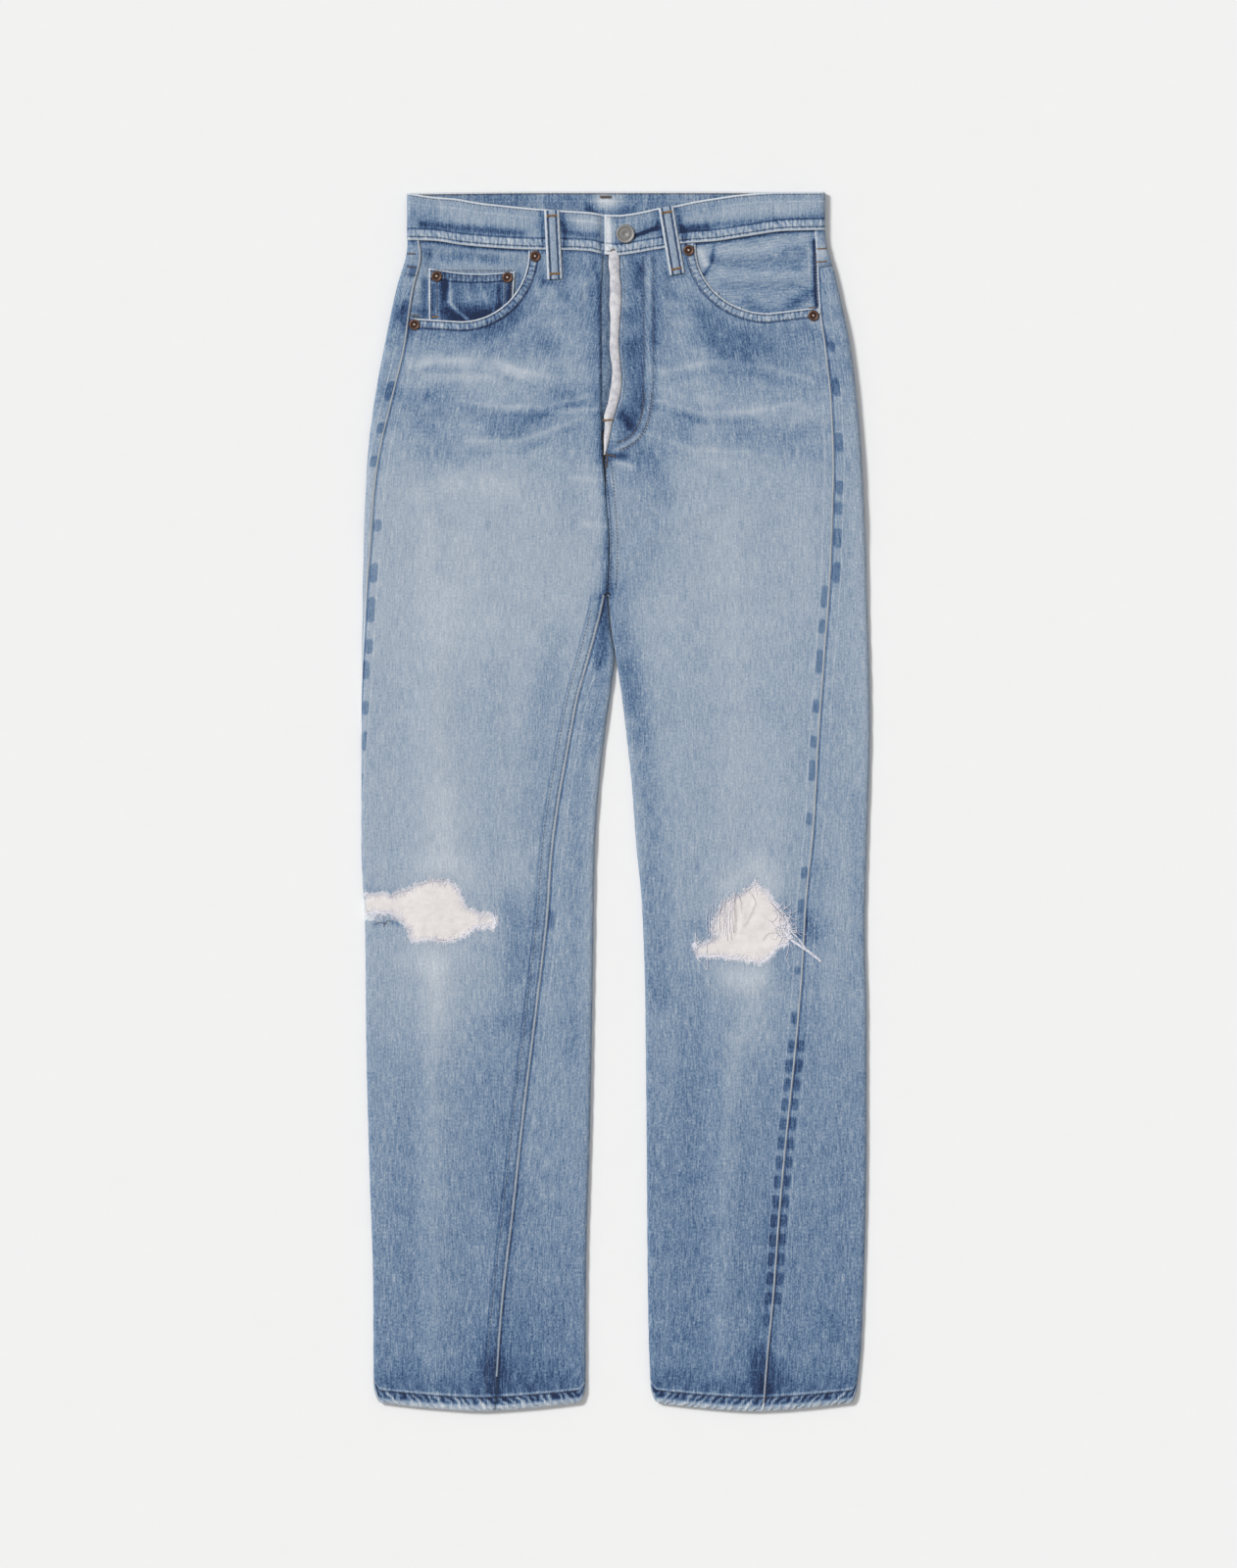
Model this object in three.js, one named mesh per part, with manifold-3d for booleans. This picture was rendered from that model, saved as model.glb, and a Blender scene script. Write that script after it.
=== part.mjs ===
// A pair of worn five-pocket jeans, laid flat on its back: the legs and seat are a flattened tube of denim,
// cut into front and back panels that meet at the seams, with a waistband, fly, pockets, belt loops,
// rivets and a waist button.
// Millimetres. +X is the wearer's left, +Y runs from the hems to the waist, +Z is up from the floor.
// The origin is on the floor, in the middle of the garment.
import * as THREE from "three";
import { mergeVertices } from "three/addons/utils/BufferGeometryUtils.js";
import Module from "manifold-3d";

const wasm = await Module();
wasm.setup();

// ---- Driving dimensions -------------------------------------------------------------------------------
const CLOTH = 1.2; // one layer of heavy denim
const GAP = 0.3; // between neighbouring pieces
const SEAM = GAP / 2; // each panel stops this far from its seam line
const HEM_Y = -535;
const HEM_DEPTH = 12;
const HEM_CLOTH = 2.0; // the hem is turned up inside the leg
const CROTCH_Y = 182; // where the four leg seams meet
const CROTCH_STEP = 2.5;
const SEAT_TOP_Y = 492; // nominal line of the waistband's lower edge, before it dips at the front
const LEG_TOP_Z = 5.0; // outer height of a flattened leg
const SEAT_TOP_Z = 8.0; // outer height of the front over the seat
const SEAT_LIFT = 2.1; // back pockets and belt loops hold the seat this far off the floor
const LEG_CROWN = 0.8; // how far the front of a leg swells in the middle
const SEAT_CROWN = 1.2;
const CREASE = 0.8; // the long soft crease down each leg
const CREASE_REACH = 0.13; // of the leg's flat stretch, to each side
const BAND_CLOTH = 2.4; // the waistband is two layers
const BAND_PROUD = 0.6; // and stands this far outside the panels
const BAND_STEP = BAND_CLOTH + GAP; // how far one end of the band drops to pass under the other
const BAND_SIDE_X = 182.5;
const LOOP_WIDTH = 13.3;
const LOOP_CLOTH = 1.2;
const RIVET_R = 4.9;
const BUTTON_R = 8.2;
const POCKET_CLOTH = SEAT_LIFT - GAP; // a patch pocket with its turned edges

// ---- Outlines -------------------------------------------------------------------------------------------
// Each outline is a few points [place, value], joined by a smooth curve with no overshoot.
function smoothLine(points) {
  const n = points.length;
  const slope = [];
  for (let i = 0; i < n - 1; i++)
    slope.push((points[i + 1][1] - points[i][1]) / (points[i + 1][0] - points[i][0]));
  const tangent = points.map((_, i) => {
    if (i === 0) return slope[0];
    if (i === n - 1) return slope[n - 2];
    const [a, b] = [slope[i - 1], slope[i]];
    return a * b <= 0 ? 0 : (2 * a * b) / (a + b);
  });
  return (at) => {
    if (at <= points[0][0]) return points[0][1];
    if (at >= points[n - 1][0]) return points[n - 1][1];
    let i = 0;
    while (at > points[i + 1][0]) i++;
    const h = points[i + 1][0] - points[i][0];
    const t = (at - points[i][0]) / h;
    return (
      (1 + 2 * t) * (1 - t) ** 2 * points[i][1] +
      t * (1 - t) ** 2 * h * tangent[i] +
      t * t * (3 - 2 * t) * points[i + 1][1] +
      t * t * (t - 1) * h * tangent[i + 1]
    );
  };
}

function smoothStep(from, to, at) {
  const t = Math.min(1, Math.max(0, (at - from) / (to - from)));
  return t * t * (3 - 2 * t);
}

// The outer folds, x against y. "right" is the wearer's right, at negative x.
const outerRight = smoothLine([
  [-535, -212.5], [-430, -212.9], [-320, -216.3], [-217, -218.9], [-110, -220], [-40, -223.3], [20, -223.3],
  [170, -222.3], [247, -220.6], [299, -218], [350, -212], [402, -202.5], [450, -192.5], [487, -183], [535, -182.5],
]);
const outerLeft = smoothLine([
  [-535, 212], [-475, 215.5], [-425, 217.5], [-372, 219], [-295, 220.2], [-190, 220.2], [-115, 218.6],
  [-37, 220.5], [66, 223.3], [170, 221], [247, 218.6], [299, 216], [350, 212], [402, 205.5], [453, 194],
  [488, 184], [535, 182.5],
]);

// The centre seam from the crotch up, and the inner folds of the legs below it.
const riseLine = smoothLine([
  [182, -7.2], [199, -6.6], [225, -5.8], [273, -9], [310, -12], [324, -12.7], [445, -13.1], [478, -12], [520, -11],
]);
const foldRight = smoothLine([
  [-535, -26.4], [-425, -26], [-270, -22], [-165, -20.2], [-60, -18.7], [-25, -17.3], [15, -14.3], [66, -8.4],
  [100, -3.6], [128, -0.9], [152, -4.6], [182, -7.2],
]);
const foldLeft = smoothLine([
  [-535, 30.5], [-425, 28], [-270, 26.8], [-165, 25.6], [-90, 22.8], [-37, 17.8], [15, 14], [66, 8.4],
  [100, 4.2], [128, -0.4], [152, -4.2], [182, -6.8],
]);

// The legs have twisted with washing, so their side seams wander round them.
const outseamRightAlong = smoothLine([ // distance round from the outer fold, positive over the front
  [-535, -66], [-400, -55], [-250, -38], [-100, -18], [0, -7], [80, 0], [126, 2.5], [173, 5], [221, 8], [272, 10],
  [311, 13], [347, 17], [394, 20], [438, 17.5], [470, 16], [492, 12],
]);
const outseamLeftX = smoothLine([
  [-535, 130], [-490, 133.5], [-430, 139.3], [-371, 143.5], [-303, 149.5], [-233, 156.8], [-151, 164],
  [-90, 167.4], [-24, 174], [60, 178.8], [125, 183.5], [200, 188.8], [257, 190.8], [291, 191.7], [348, 189.7],
  [397, 184.6], [439, 179], [483, 176.5], [500, 175],
]);
const inseamRightX = smoothLine([
  [-535, -105.5], [-455, -100.2], [-351, -88.5], [-261, -78.6], [-173, -67.7], [-91, -58.5], [-54, -56.2],
  [-5, -50.2], [34, -43.5], [63, -38.3], [93, -32.4], [114, -26.5], [145, -18], [172, -11.5], [182, -9.9],
]);
const inseamLeftWrap = smoothLine([ // distance round past the front's inner edge, towards the back
  [-535, 84], [-400, 72], [-250, 56], [-100, 38], [0, 26], [66, 16], [128, 7.9], [155, 4], [182, 0],
]);

// The waistband's edges, y against x. It dips at the front, where the band sinks between the hips.
const bandFootFront = smoothLine([
  [-183, 492.5], [-160, 491.7], [-134, 488], [-108, 485.7], [-77, 484], [-46, 483.6], [-23, 482.6], [-9.5, 479.7],
  [0, 478.8], [12.5, 480.1], [30, 483.2], [42, 485.2], [58, 489.2], [85, 491.2], [114, 495.5], [150, 500.4],
  [183, 501.2],
]);
const bandHeadFront = smoothLine([
  [-183, 533.8], [-160, 530.2], [-141, 528.7], [-121, 525.2], [-99, 522.7], [-68, 519.7], [-47, 518.2],
  [-23, 516.7], [-10, 514.7], [2, 514.2], [12, 515.2], [25, 517.5], [37, 520.2], [54, 522.7], [65, 525.2],
  [85, 528.7], [114, 532.6], [144, 534.4], [183, 534.6],
]);
const bandFootBack = smoothLine([[-183, 492.5], [0, 495], [183, 501.2]]);
const bandHeadBack = smoothLine([[-183, 533.8], [-60, 535], [60, 535], [183, 534.6]]);
const yokeSeam = smoothLine([[-205, 464], [-190, 462], [-9, 430], [172, 462], [190, 464]]);

// The fly: the front edge of the wearer's left side, and the rolled white edge of the facing beside it.
const flyEdge = smoothLine([
  [182, -6.8], [225, -5.4], [273, -8.6], [300, -9], [316, -5.5], [332, -2.6], [345, 1.3], [357, 4.3], [369, 5.6],
  [402, 3.2], [445, 5.4], [478, 3.8], [520, 3.8],
]);
const rollEdge = smoothLine([
  [300, -11.4], [310, -10.6], [331, -9.6], [336, -10.3], [347, -7.7], [357, -6.1], [369, -3.4], [380, -3],
  [402, -6], [410, -5.1], [445, -5], [478, -6],
]);
const facingEdge = smoothLine([[304, -2], [325, 20], [350, 33], [478, 36]]);

// ---- The flattened tube ----------------------------------------------------------------------------------
// "fills" are the shares of the flat stretch where the front has a column; the crease runs down one of them.
const right = {
  outer: outerRight,
  inner: (y) => (y > CROTCH_Y ? riseLine(y) : foldRight(y)),
  inward: 1,
  fills: [0.12, 0.28, 0.42, 0.585, 0.76, 0.885],
  creaseAt: 0.28,
  creaseTop: 190,
};
const left = {
  outer: outerLeft,
  inner: (y) => (y > CROTCH_Y ? riseLine(y) + 2 * SEAM : foldLeft(y)),
  inward: -1,
  fills: [0.17, 0.36, 0.51, 0.65, 0.8, 0.89],
  creaseAt: 0.65,
  creaseTop: -150,
};

const topZ = (y) => LEG_TOP_Z + (SEAT_TOP_Z - LEG_TOP_Z) * smoothStep(150, 290, y);
const liftZ = (y) => SEAT_LIFT * smoothStep(200, 240, y);

// The tube's size at height y: its width, fold radius, a quarter of a fold, and the flat stretch between.
function tubeAt(leg, y) {
  const outer = leg.outer(y);
  const width = Math.abs(leg.inner(y) - outer);
  const radius = (topZ(y) - liftZ(y)) / 2;
  const quarter = (Math.PI * radius) / 2;
  return { outer, width, radius, quarter, flat: width - 2 * radius, inward: leg.inward };
}

// How far the front swells above a flat one, u being the share of the way across.
function swell(leg, u, y) {
  const overSeat = smoothStep(185, 270, y);
  const height = LEG_CROWN + (SEAT_CROWN - LEG_CROWN) * overSeat;
  const crown = height * (1 - (1 - u) ** 3) * (1 - (1 - overSeat) * u ** 3);
  const ends = smoothStep(HEM_Y, HEM_Y + 80, y) * (1 - smoothStep(leg.creaseTop - 80, leg.creaseTop, y));
  return crown + CREASE * ends * Math.max(0, 1 - Math.abs(u - leg.creaseAt) / CREASE_REACH);
}

// How far a hem's edge rises towards its folded corners.
function hemRise(across, width) {
  const side = Math.min(across, width - across);
  const corner = side < 6 ? 12 * (1 - Math.max(0, side) / 6) ** 2 : 0;
  return 8 * Math.abs((2 * across) / width - 1) ** 1.5 + corner;
}

// A point of the tube: "along" is the distance round from the outer fold, positive over the front and
// negative under the back, and "out" is how far it lies outside the cloth's outer face.
function tubePoint(leg, along, y, out = 0) {
  const { outer, width, radius, quarter, flat, inward } = tubeAt(leg, y);
  const q = Math.abs(along);
  let across, up, nAcross, nUp;
  if (q <= quarter) {
    const turn = q / radius;
    [nAcross, nUp] = [-Math.cos(turn), Math.sin(turn)];
    [across, up] = [radius + radius * nAcross, radius * nUp];
  } else if (y > CROTCH_Y || q <= quarter + flat) {
    [nAcross, nUp] = [0, 1];
    [across, up] = [radius + q - quarter, radius];
  } else if (q <= 3 * quarter + flat) {
    const turn = (q - quarter - flat) / radius;
    [nAcross, nUp] = [Math.sin(turn), Math.cos(turn)];
    [across, up] = [width - radius + radius * nAcross, radius * nUp];
  } else {
    [nAcross, nUp] = [0, -1];
    [across, up] = [width - radius - (q - 3 * quarter - flat), -radius];
  }
  if (along < 0) [up, nUp] = [-up, -nUp];
  const x = outer + inward * (across + nAcross * out);
  const u = Math.min(1, Math.max(0, (across - radius) / flat));
  const swollen = up > 0 ? (swell(leg, u, y) * up) / radius : 0;
  const z = (topZ(y) + liftZ(y)) / 2 + up + nUp * out + swollen;
  const edge = along < 0 ? bandFootBack(x) : bandFootFront(x);
  const waist = (edge - SEAT_TOP_Y) * smoothStep(430, SEAT_TOP_Y, y);
  const hem = hemRise(across, width) * (1 - smoothStep(HEM_Y, HEM_Y + 60, y));
  return new THREE.Vector3(x, y + waist + hem, z);
}

// Distance round to a place on the front, given by its x.
function alongAt(leg, x, y) {
  const { outer, radius, quarter } = tubeAt(leg, y);
  const across = Math.abs(x - outer);
  return across >= radius ? quarter + across - radius : radius * Math.acos(1 - across / radius);
}

// A point of the front above the crotch, given by its x.
function frontPoint(x, y, out = 0) {
  const leg = x < riseLine(y) ? right : left;
  return tubePoint(leg, alongAt(leg, x, y), y, out);
}

// ---- Solids ------------------------------------------------------------------------------------------------
function geometryOf(vertices, faces) {
  const flat = faces.flatMap(([a, b, c]) => [vertices[a], vertices[b], vertices[c]]);
  const merged = mergeVertices(new THREE.BufferGeometry().setFromPoints(flat), 1e-3);
  const index = merged.index.array;
  const kept = [];
  for (let i = 0; i < index.length; i += 3) {
    const [a, b, c] = [index[i], index[i + 1], index[i + 2]];
    if (a !== b && b !== c && c !== a) kept.push(a, b, c);
  }
  merged.setIndex(kept);
  return volumeOf(merged) < 0 ? turnedOut(merged) : merged;
}

function volumeOf(geometry) {
  const place = geometry.attributes.position;
  const [a, b, c] = [new THREE.Vector3(), new THREE.Vector3(), new THREE.Vector3()];
  let sum = 0;
  for (let i = 0; i < geometry.index.count; i += 3) {
    [a, b, c].forEach((v, k) => v.fromBufferAttribute(place, geometry.index.getX(i + k)));
    sum += a.dot(b.cross(c)) / 6;
  }
  return sum;
}

function turnedOut(geometry) {
  const index = [...geometry.index.array];
  for (let i = 0; i < index.length; i += 3) [index[i + 1], index[i + 2]] = [index[i + 2], index[i + 1]];
  geometry.setIndex(index);
  return geometry;
}

// A wall of cloth from two grids of points, the outer face and the inner one, with a rim all round.
function wall(outerFace, innerFace) {
  const rows = outerFace.length;
  const columns = outerFace[0].length;
  const vertices = [...outerFace.flat(), ...innerFace.flat()];
  const at = (i, j) => i * columns + j;
  const below = rows * columns;
  const faces = [];
  const quad = (a, b, c, d) => faces.push([a, b, c], [a, c, d]);
  for (let i = 0; i < rows - 1; i++)
    for (let j = 0; j < columns - 1; j++) {
      quad(at(i, j), at(i, j + 1), at(i + 1, j + 1), at(i + 1, j));
      quad(below + at(i + 1, j), below + at(i + 1, j + 1), below + at(i, j + 1), below + at(i, j));
    }
  const rim = [];
  for (let j = 0; j < columns; j++) rim.push(at(0, j));
  for (let i = 1; i < rows; i++) rim.push(at(i, columns - 1));
  for (let j = columns - 2; j >= 0; j--) rim.push(at(rows - 1, j));
  for (let i = rows - 2; i > 0; i--) rim.push(at(i, 0));
  rim.forEach((a, k) => {
    const b = rim[(k + 1) % rim.length];
    quad(b, a, below + a, below + b);
  });
  return geometryOf(vertices, faces);
}

function manifoldOf(geometry) {
  const bare = new THREE.BufferGeometry().setAttribute("position", geometry.attributes.position);
  bare.setIndex(geometry.index);
  const merged = mergeVertices(bare, 1e-3);
  return new wasm.Manifold(
    new wasm.Mesh({
      numProp: 3,
      vertProperties: merged.attributes.position.array,
      triVerts: new Uint32Array(merged.index.array),
    }),
  );
}

function subtract(geometry, tool) {
  const made = manifoldOf(geometry).subtract(manifoldOf(tool)).getMesh();
  return new THREE.BufferGeometry()
    .setAttribute("position", new THREE.BufferAttribute(made.vertProperties, 3))
    .setIndex(new THREE.BufferAttribute(made.triVerts, 1));
}

// An upright prism over an outline in plan, from one height to another.
function prism(outline, from, to) {
  const shape = new THREE.Shape(outline.map(([x, y]) => new THREE.Vector2(x, y)));
  return new THREE.ExtrudeGeometry(shape, { depth: to - from, bevelEnabled: false }).translate(0, 0, from);
}

// An ExtrudeGeometry or LatheGeometry as one closed surface with shared vertices.
function closed(geometry) {
  const bare = new THREE.BufferGeometry().setAttribute("position", geometry.attributes.position);
  if (geometry.index) bare.setIndex(geometry.index);
  const merged = mergeVertices(bare, 1e-3);
  const points = [];
  for (let i = 0; i < merged.attributes.position.count; i++)
    points.push(new THREE.Vector3().fromBufferAttribute(merged.attributes.position, i));
  const index = merged.index.array;
  const faces = [];
  for (let i = 0; i < index.length; i += 3) faces.push([index[i], index[i + 1], index[i + 2]]);
  return geometryOf(points, faces);
}

// ---- Panels ------------------------------------------------------------------------------------------------
const LEG_ROWS = [
  HEM_Y, HEM_Y + HEM_DEPTH, HEM_Y + HEM_DEPTH + 2, -480, -400, -320, -240, -170, -130, -90, -50, 10, 66, 100,
  128, 155, CROTCH_Y,
];
const ROUND_THE_FOLD_ROWS = [-20, 26, 36, 44, 52, 59, 74, 86, 114, 141]; // where the right outseam goes over the outer fold
const FLY_ROWS = [304, 325, 336, 347, 357, 369, 402, 430, 452, 472, 488];
const SEAT_ROWS = [CROTCH_Y + CROTCH_STEP, 200, 220, 240, 272];
const BAND_ROW = SEAT_TOP_Y - GAP;
const BACK_FILLS = [1, 2, 3, 4, 5].map((k) => k / 6);
const SNAP = 1.0; // a column nearer than this to a panel's edge joins the edge

// Places round the tube where a panel needs a column: round each fold, and evenly between.
function columnsAt(leg, y, from, to, kinds) {
  const { quarter, flat } = tubeAt(leg, y);
  const fold = [0, 0.5, 1, 1.5, 2].map((k) => k * quarter);
  const places = {
    outerFold: fold.map((f) => f - quarter),
    front: leg.fills.map((share) => quarter + flat * share),
    back: BACK_FILLS.toReversed().map((share) => -quarter - flat * share),
    backFromOuter: [-68, -46, -24].map((d) => -quarter + d),
    backFromInner: [24, 46, 68].map((d) => 3 * quarter + flat + d),
    frontFromBack: [-(3 * quarter + flat) - 68, -(3 * quarter + flat) - 46, -(3 * quarter + flat) - 24],
    innerFold: fold.map((f) => quarter + flat + f),
    innerFoldFromBack: fold.map((f) => -3 * quarter - flat + f),
  };
  const inside = kinds.flatMap((kind) => places[kind]).map((s) => {
    if (s - from < SNAP) return from;
    if (to - s < SNAP) return to;
    return s;
  });
  return [from, ...inside, to];
}

// A panel between two seams. limits(y) gives the distances round to each.
// skew(x, y) raises a place on a row. The place then keeps to the seams' course at its new height,
// and the outer fold stays where it is.
function panel(leg, rows, limits, kinds, skew = () => 0) {
  const face = (out) =>
    rows.map((y) => {
      const [from, to] = limits(y);
      const { quarter } = tubeAt(leg, y);
      return columnsAt(leg, y, from, to, kinds).map((s) => {
        const inside = out < 0 && y <= HEM_Y + HEM_DEPTH ? -HEM_CLOTH : out;
        const rise = skew(tubePoint(leg, s, y, 0).x, y);
        if (rise === 0) return tubePoint(leg, s, y, inside);
        const [newFrom, newTo] = limits(y + rise);
        const along =
          s > quarter
            ? quarter + ((s - quarter) * (newTo - quarter)) / (to - quarter)
            : s < -quarter
              ? -quarter + ((s + quarter) * (newFrom + quarter)) / (from + quarter)
              : s;
        return tubePoint(leg, along, y + rise, inside);
      });
    });
  return wall(face(0), face(-CLOTH));
}

const wholeRound = (leg, y) => {
  const { quarter, flat } = tubeAt(leg, y);
  return 4 * quarter + 2 * flat;
};
const seatEdge = (leg, y) => {
  const { quarter, width, radius } = tubeAt(leg, y);
  return quarter + width - radius;
};
const inseamRight = (y) => alongAt(right, inseamRightX(y), y);
const inseamLeft = (y) => {
  const { quarter, flat } = tubeAt(left, y);
  return quarter + flat + inseamLeftWrap(y);
};
const outseamLeft = (y) => alongAt(left, outseamLeftX(y), y);

const inSeat = (y) => y > CROTCH_Y;
const frontRightLimits = (y) => [
  outseamRightAlong(y) + SEAM,
  (inSeat(y) ? alongAt(right, riseLine(y), y) : inseamRight(y)) - SEAM,
];
const frontLeftLimits = (y) => [
  outseamLeft(y) + SEAM,
  (inSeat(y) ? alongAt(left, flyEdge(y), y) : inseamLeft(y)) - SEAM,
];
const backRightLimits = (y) => [
  -(inSeat(y) ? seatEdge(right, y) : wholeRound(right, y) - inseamRight(y)) + SEAM,
  outseamRightAlong(y) - SEAM,
];
const backLeftLimits = (y) => [
  -(inSeat(y) ? seatEdge(left, y) : wholeRound(left, y) - inseamLeft(y)) + SEAM,
  outseamLeft(y) - SEAM,
];

// ---- Pocket mouths and knee rips, as outlines in plan ---------------------------------------------------
const PAST = 60; // how far a cutting outline runs past the cloth

// The mouth runs down from the waistband in a quarter ellipse, then level to the outseam.
function mouthOutline(side, centreX, centreY, across, deep, seamX, seamY) {
  const steps = 9;
  const curve = Array.from({ length: steps + 1 }, (_, k) => {
    const turn = (Math.PI / 2) * (k / steps);
    return [centreX - side * across * Math.cos(turn), centreY - deep * Math.sin(turn)];
  });
  const outside = side * 260;
  return [[curve[0][0], centreY + PAST], ...curve, [seamX, seamY], [outside, seamY], [outside, centreY + PAST]];
}
const mouthRight = mouthOutline(-1, -136, 482, 59.5, 61, -176, 423.5);
const mouthLeft = mouthOutline(1, 134, 487, 64, 59, 174, 433);

const ripRight = [
  [-232, -82], [-201, -82], [-181, -75.3], [-155.5, -69.1], [-142.3, -71.7], [-135.5, -92.8], [-116, -101.6],
  [-107, -106], [-109, -113], [-122, -112], [-133.6, -122.2], [-148, -124], [-180, -123.5], [-186, -108.6],
  [-194, -101.4], [-232, -99],
];
const ripLeft = [
  [69.8, -124.4], [86, -119.5], [86, -104.9], [95.5, -90], [116, -77.9], [122.6, -70.4], [133.7, -79.6],
  [141.2, -94.7], [149.6, -108.7], [155.2, -124.4], [138.5, -134.7], [121.7, -142.2], [96.5, -138.5], [71, -136],
];
const RIP_FLOOR_Z = 2.3; // a rip opens the front of the leg only

// ---- Waistband ----------------------------------------------------------------------------------------------
// Stations run from the end under the fly, round the wearer's right side, the back and the left side,
// to the end that laps on top.
const BAND_Y = (SEAT_TOP_Y + 535) / 2;
function bandStations() {
  const onFront = (leg) => (x) => ({ leg, along: alongAt(leg, x, BAND_Y), drop: x > -14 && leg === right });
  const { quarter } = tubeAt(right, BAND_Y);
  const fold = [1, 0.5, 0, -0.5, -1];
  const fills = (leg) => {
    const { flat } = tubeAt(leg, BAND_Y);
    return leg.fills.map((share) => ({ leg, along: quarter + flat * share }));
  };
  const onBack = (leg) => (x) => ({ leg, along: -alongAt(leg, x, BAND_Y) });
  return [
    { leg: left, along: alongAt(left, 26, BAND_Y), drop: true },
    { leg: left, along: alongAt(left, 0, BAND_Y), drop: true },
    ...[-11.5, -16].map(onFront(right)),
    ...fills(right).toReversed(),
    ...fold.map((k) => ({ leg: right, along: k * quarter })),
    ...[-150, -100, -50].map(onBack(right)),
    ...[10, 60, 110, 150].map(onBack(left)),
    ...fold.toReversed().map((k) => ({ leg: left, along: k * quarter })),
    ...fills(left),
    ...[1, -9.9].map(onFront(left)),
  ];
}

function bandPoint({ leg, along, drop }, share, out) {
  const point = tubePoint(leg, along, BAND_Y, out - (drop ? BAND_STEP : 0));
  const front = along >= 0;
  const foot = (front ? bandFootFront : bandFootBack)(point.x);
  const head = (front ? bandHeadFront : bandHeadBack)(point.x);
  point.y = foot + share * (head - foot);
  return point;
}

function waistband() {
  const rows = [0, 1].map((share) => bandStations().map((s) => bandPoint(s, share, BAND_PROUD)));
  const inner = [0, 1].map((share) => bandStations().map((s) => bandPoint(s, share, BAND_PROUD - BAND_CLOTH)));
  return wall(rows, inner);
}

const BUTTON_AT = [8.5, 497.6];
const BUTTONHOLE_LENGTH = 30;
const BUTTONHOLE_TILT = 0.2;
function buttonhole() {
  const slit = prism([[0, -1.1], [BUTTONHOLE_LENGTH, -1.1], [BUTTONHOLE_LENGTH, 1.1], [0, 1.1]], 0, 6);
  const eye = new THREE.CylinderGeometry(3.2, 3.2, 6, 16).rotateX(Math.PI / 2).translate(0, 0, 3);
  const place = new THREE.Matrix4()
    .makeTranslation(BUTTON_AT[0], BUTTON_AT[1], frontZ(...BUTTON_AT) + BAND_PROUD - BAND_CLOTH - GAP / 2)
    .multiply(new THREE.Matrix4().makeRotationZ(BUTTONHOLE_TILT));
  return [closed(slit).applyMatrix4(place), closed(eye).applyMatrix4(place)];
}

// ---- Things on the front --------------------------------------------------------------------------------
const frontZ = (x, y) => frontPoint(x, y).z;

// A patch of cloth between two sides x0(y) and x1(y), lying at a depth under the front's outer face.
function patchUnder(rows, x0, x1, columns, depth, skew = () => 0) {
  const face = (out) =>
    rows.map((y) =>
      Array.from({ length: columns }, (_, k) => {
        const x = x0(y) + ((x1(y) - x0(y)) * k) / (columns - 1);
        const point = frontPoint(x, y, -out);
        point.y += skew(x, y);
        return point;
      }),
    );
  return wall(face(depth), face(depth + CLOTH));
}

const FACING_DEPTH_RIGHT = 2 * (CLOTH + GAP); // leaves room for the coin pocket
const FACING_DEPTH_LEFT = CLOTH + GAP;
const UNDER_BAND = SEAT_TOP_Y - 2;

function facingRight() {
  const seamX = (y) => outerRight(y) + outseamRightAlong(y) + GAP;
  return patchUnder([406, 430, 452, 472, UNDER_BAND], seamX, () => -62, 7, FACING_DEPTH_RIGHT);
}

function facingLeft() {
  const seamX = (y) => outseamLeftX(y) - GAP;
  return patchUnder([415, 435, 455, 475, UNDER_BAND], () => 56, seamX, 7, FACING_DEPTH_LEFT);
}

function coinPocket() {
  const [outer, inner] = [-164, -88.5];
  const sag = (x, y) => {
    const t = (x - outer) / (inner - outer);
    return y > 450 ? 2 * t - 2.5 * Math.sin(Math.PI * t) : 0;
  };
  return patchUnder([407, 430, 450, 467.5], () => outer, (y) => inner - (466 - y) * 0.06, 6, CLOTH + GAP, sag);
}

// A piece across the fly: at each height its upper and lower faces are [x, depth below the front's face].
function flyPiece(rows, upperAt, lowerAt) {
  const face = (profileAt) => rows.map((y) => profileAt(y).map(([x, depth]) => frontPoint(x, y, -depth)));
  return wall(face(upperAt), face(lowerAt));
}

// The fly facing lies under the wearer's left front; its edge is rolled up beside that front's edge.
function flyFacing() {
  const [under, foot, top, shoulder] = [CLOTH + GAP, 2 * CLOTH + GAP, -0.9, 0.5];
  const across = (y) => {
    const [from, to] = [rollEdge(y), flyEdge(y) - GAP];
    return [from, from + 0.25 * (to - from), to - 0.25 * (to - from), to, to, facingEdge(y) + 2];
  };
  const depths = [shoulder, top, top, shoulder, under, under];
  const upper = (y) => across(y).map((x, k) => [x, depths[k]]);
  const lower = (y) => across(y).map((x) => [x, foot]);
  return flyPiece(FLY_ROWS, upper, lower);
}

// The extension lies under the wearer's right front and drops to pass under the facing.
function flyExtension() {
  const [upper, lower] = [CLOTH + GAP, 2 * (CLOTH + GAP)];
  const top = (y) => [[-30, upper], [rollEdge(y) - 3, upper], [rollEdge(y) - 1.5, lower], [22, lower]];
  const bottom = (y) => [
    [-30, upper + CLOTH], [rollEdge(y) - 4.3, upper + CLOTH], [rollEdge(y) - 2.8, lower + CLOTH],
    [22, lower + CLOTH],
  ];
  return flyPiece(FLY_ROWS.slice(1), top, bottom);
}

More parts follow.
